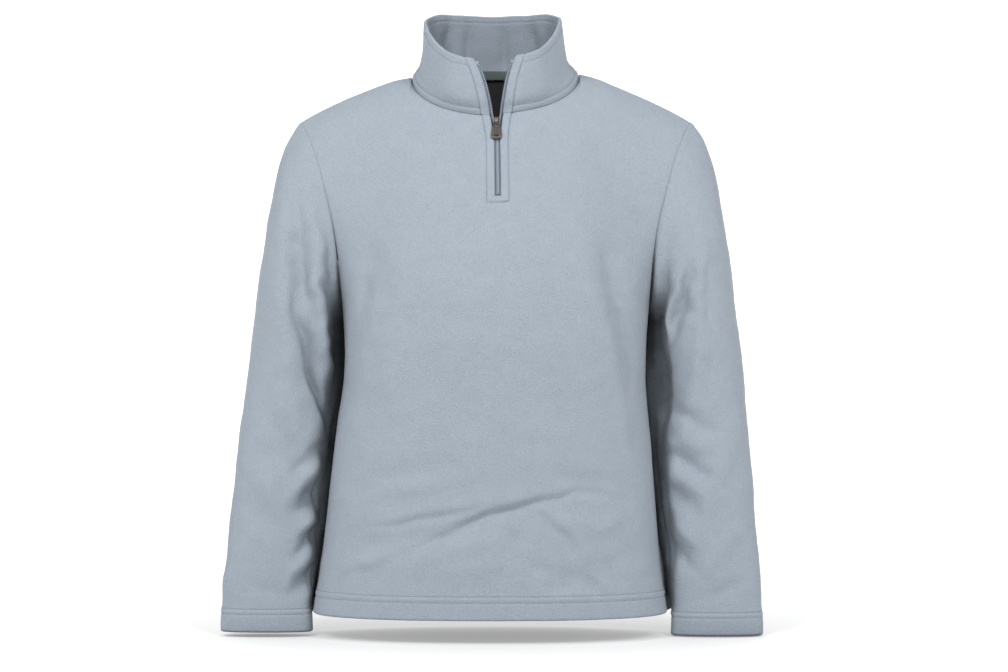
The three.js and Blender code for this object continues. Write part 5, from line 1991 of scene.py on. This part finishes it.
    def bridge(self) -> bpy.types.Object:
        """The arch that holds the pull tab, broad above and narrow below."""
        y, out, wide = BRIDGE[0]
        piece = Hard.cube("bridge", (wide, BRIDGE_THICK, 0.2), (0, y, out + self.face_top - 0.1))
        bpy.ops.object.mode_set(mode="EDIT")
        Hard.pick(piece, lambda centre, normal: normal.z > 0.9)
        heading = 90.0
        for last, here, ahead in zip(BRIDGE, BRIDGE[1:], [*BRIDGE[2:], BRIDGE[-1]]):
            centre = Vector((0, here[0], here[1] + self.face_top))
            Hard.extrude(Vector((0, here[0] - last[0], here[1] - last[1])), here[2] / last[2], centre)
            wanted = math.degrees(math.atan2(ahead[1] - last[1], ahead[0] - last[0]))
            turn = (wanted - heading + 180) % 360 - 180
            bpy.ops.transform.rotate(value=math.radians(-turn), orient_axis="X", orient_type="GLOBAL",
                                     center_override=centre * MM)
            heading = wanted
        bpy.ops.mesh.select_all(action="SELECT")
        bpy.ops.mesh.normals_make_consistent(inside=False)
        bpy.ops.object.mode_set(mode="OBJECT")
        Hard.bevel(piece, 0.22, 3, 30)
        return piece

    def slider(self) -> bpy.types.Object:
        """The slider: two plates, the post between them and the bridge."""
        low, high = self.back_top - 0.4, self.face_top - 0.4
        at = (0, self.slider_long / 2 - 1.75, (high + low) / 2)
        post = Hard.cube("post", (*POST, high - low), at)
        Hard.bevel(post, 0.35, 3)
        front, rear = PLATE_THICK
        parts = [self.plate("slider_cast", self.face_top - front, self.face_top),
                 self.plate("rear", self.back_top - rear, self.back_top), post, self.bridge()]
        piece = Hard.join(parts)
        Hard.place(piece, FORM.zip_frame(SLIDER_Z))
        return piece

    def pull(self) -> bpy.types.Object:
        """The pull tab, with a window round the bridge and a plain slot near its foot."""
        (top, half), *outline = PULL_OUTLINE
        piece = Hard.cube("pull_tab_cast", (half * 2, 0.2, PULL_THICK), (0, 0.1 - top, 0))
        bpy.ops.object.mode_set(mode="EDIT")
        Hard.pick(piece, lambda centre, normal: normal.y < -0.9)
        last, width = top, half
        for down, half in outline:
            Hard.extrude(Vector((0, last - down, 0)), half / width, Vector((0, -down, 0)))
            last, width = down, half
        bpy.ops.object.mode_set(mode="OBJECT")
        for (wide, long, middle), segments in ((PULL_WINDOW, 3), (PULL_SLOT, 4)):
            opening = Hard.cube("opening", (wide, long, 4), (0, middle, 0))
            Hard.bevel(opening, 0.9, segments, 80)
            Hard.cut(piece, opening)
        Hard.bevel(piece, 0.3, 3, 32)
        Hard.place(piece, FORM.zip_frame(SLIDER_Z) @ Matrix.Translation((0, -0.6, self.face_top + 1.1)))
        return piece


@dataclass
class Studio:
    """A sweep of pale paper, soft lights and the camera.

    Attributes:
        floor_z: the floor, just below the cuffs
        front: how far the paper runs on in front
        back: how far behind it begins to rise
        bend: the radius it rises with
        top: its height
        half_width: half its width
        camera_at: the camera's place
        lens: its focal length
        room: the strength of the room's own light
    """

    floor_z: float = -713.0
    front: float = 7000.0
    back: float = 6000.0
    bend: float = 900.0
    top: float = 5200.0
    half_width: float = 8000.0
    camera_at: tuple[float, float, float] = (10.9, -3050.0, -330.0)
    lens: float = 85.07
    room: float = 0.13

    def build(self) -> None:
        """Makes all of it."""
        self.sweep()
        self.lights()
        self.camera()

    def sweep(self) -> None:
        """Floor and backdrop in one curved sheet."""
        curve = [(self.back + self.bend * math.sin(a), self.bend * (1 - math.cos(a)))
                 for a in np.linspace(0, math.pi / 2, 12)]
        line = [(-self.front, 0), *curve, (self.back + self.bend, self.top)]
        points = [(x, y, self.floor_z + z) for y, z in line for x in (-self.half_width, self.half_width)]
        faces = [[2 * k, 2 * k + 1, 2 * k + 3, 2 * k + 2] for k in range(len(line) - 1)]
        floor = mesh_object("studio_sweep", np.array(points), faces)
        floor.data.materials.append(Paper("paper_matt_white").make())

    def light(self, name: str, at: Sequence[float], to: Sequence[float], size: float, power: float) -> None:
        """A square soft light, its places in millimetres and its power in watts."""
        lamp = bpy.data.lights.new(name, "AREA")
        lamp.shape, lamp.size, lamp.energy = "SQUARE", size * MM, power
        made = bpy.data.objects.new(name, lamp)
        made.location = Vector(at) * MM
        made.rotation_euler = (Vector(to) - Vector(at)).to_track_quat("-Z", "Y").to_euler()
        bpy.context.scene.collection.objects.link(made)

    def lights(self) -> None:
        """Softboxes and the room's own light."""
        for row in LIGHTS:
            self.light(*row)
        world = bpy.data.worlds.new("room")
        world.use_nodes = True
        back = world.node_tree.nodes["Background"]
        back.inputs["Color"].default_value = linear("#F7F9FC")
        back.inputs["Strength"].default_value = self.room
        bpy.context.scene.world = world

    def camera(self) -> None:
        """The camera, level and square on."""
        lens = bpy.data.cameras.new("camera")
        lens.lens, lens.sensor_width = self.lens, 36
        lens.clip_end = 50
        made = bpy.data.objects.new("camera", lens)
        made.location = Vector(self.camera_at) * MM
        made.rotation_euler = (math.pi / 2, 0, 0)
        bpy.context.scene.collection.objects.link(made)
        bpy.context.scene.camera = made
        bpy.context.scene.view_settings.view_transform = "Standard"


def main() -> None:
    """Builds the pieces in order."""
    logging.basicConfig(level=logging.INFO, format="%(name)s: %(message)s")
    Studio().build()
    garment = Garment()
    garment.build()
    Zip(garment).build()


if __name__ == "__main__":
    main()
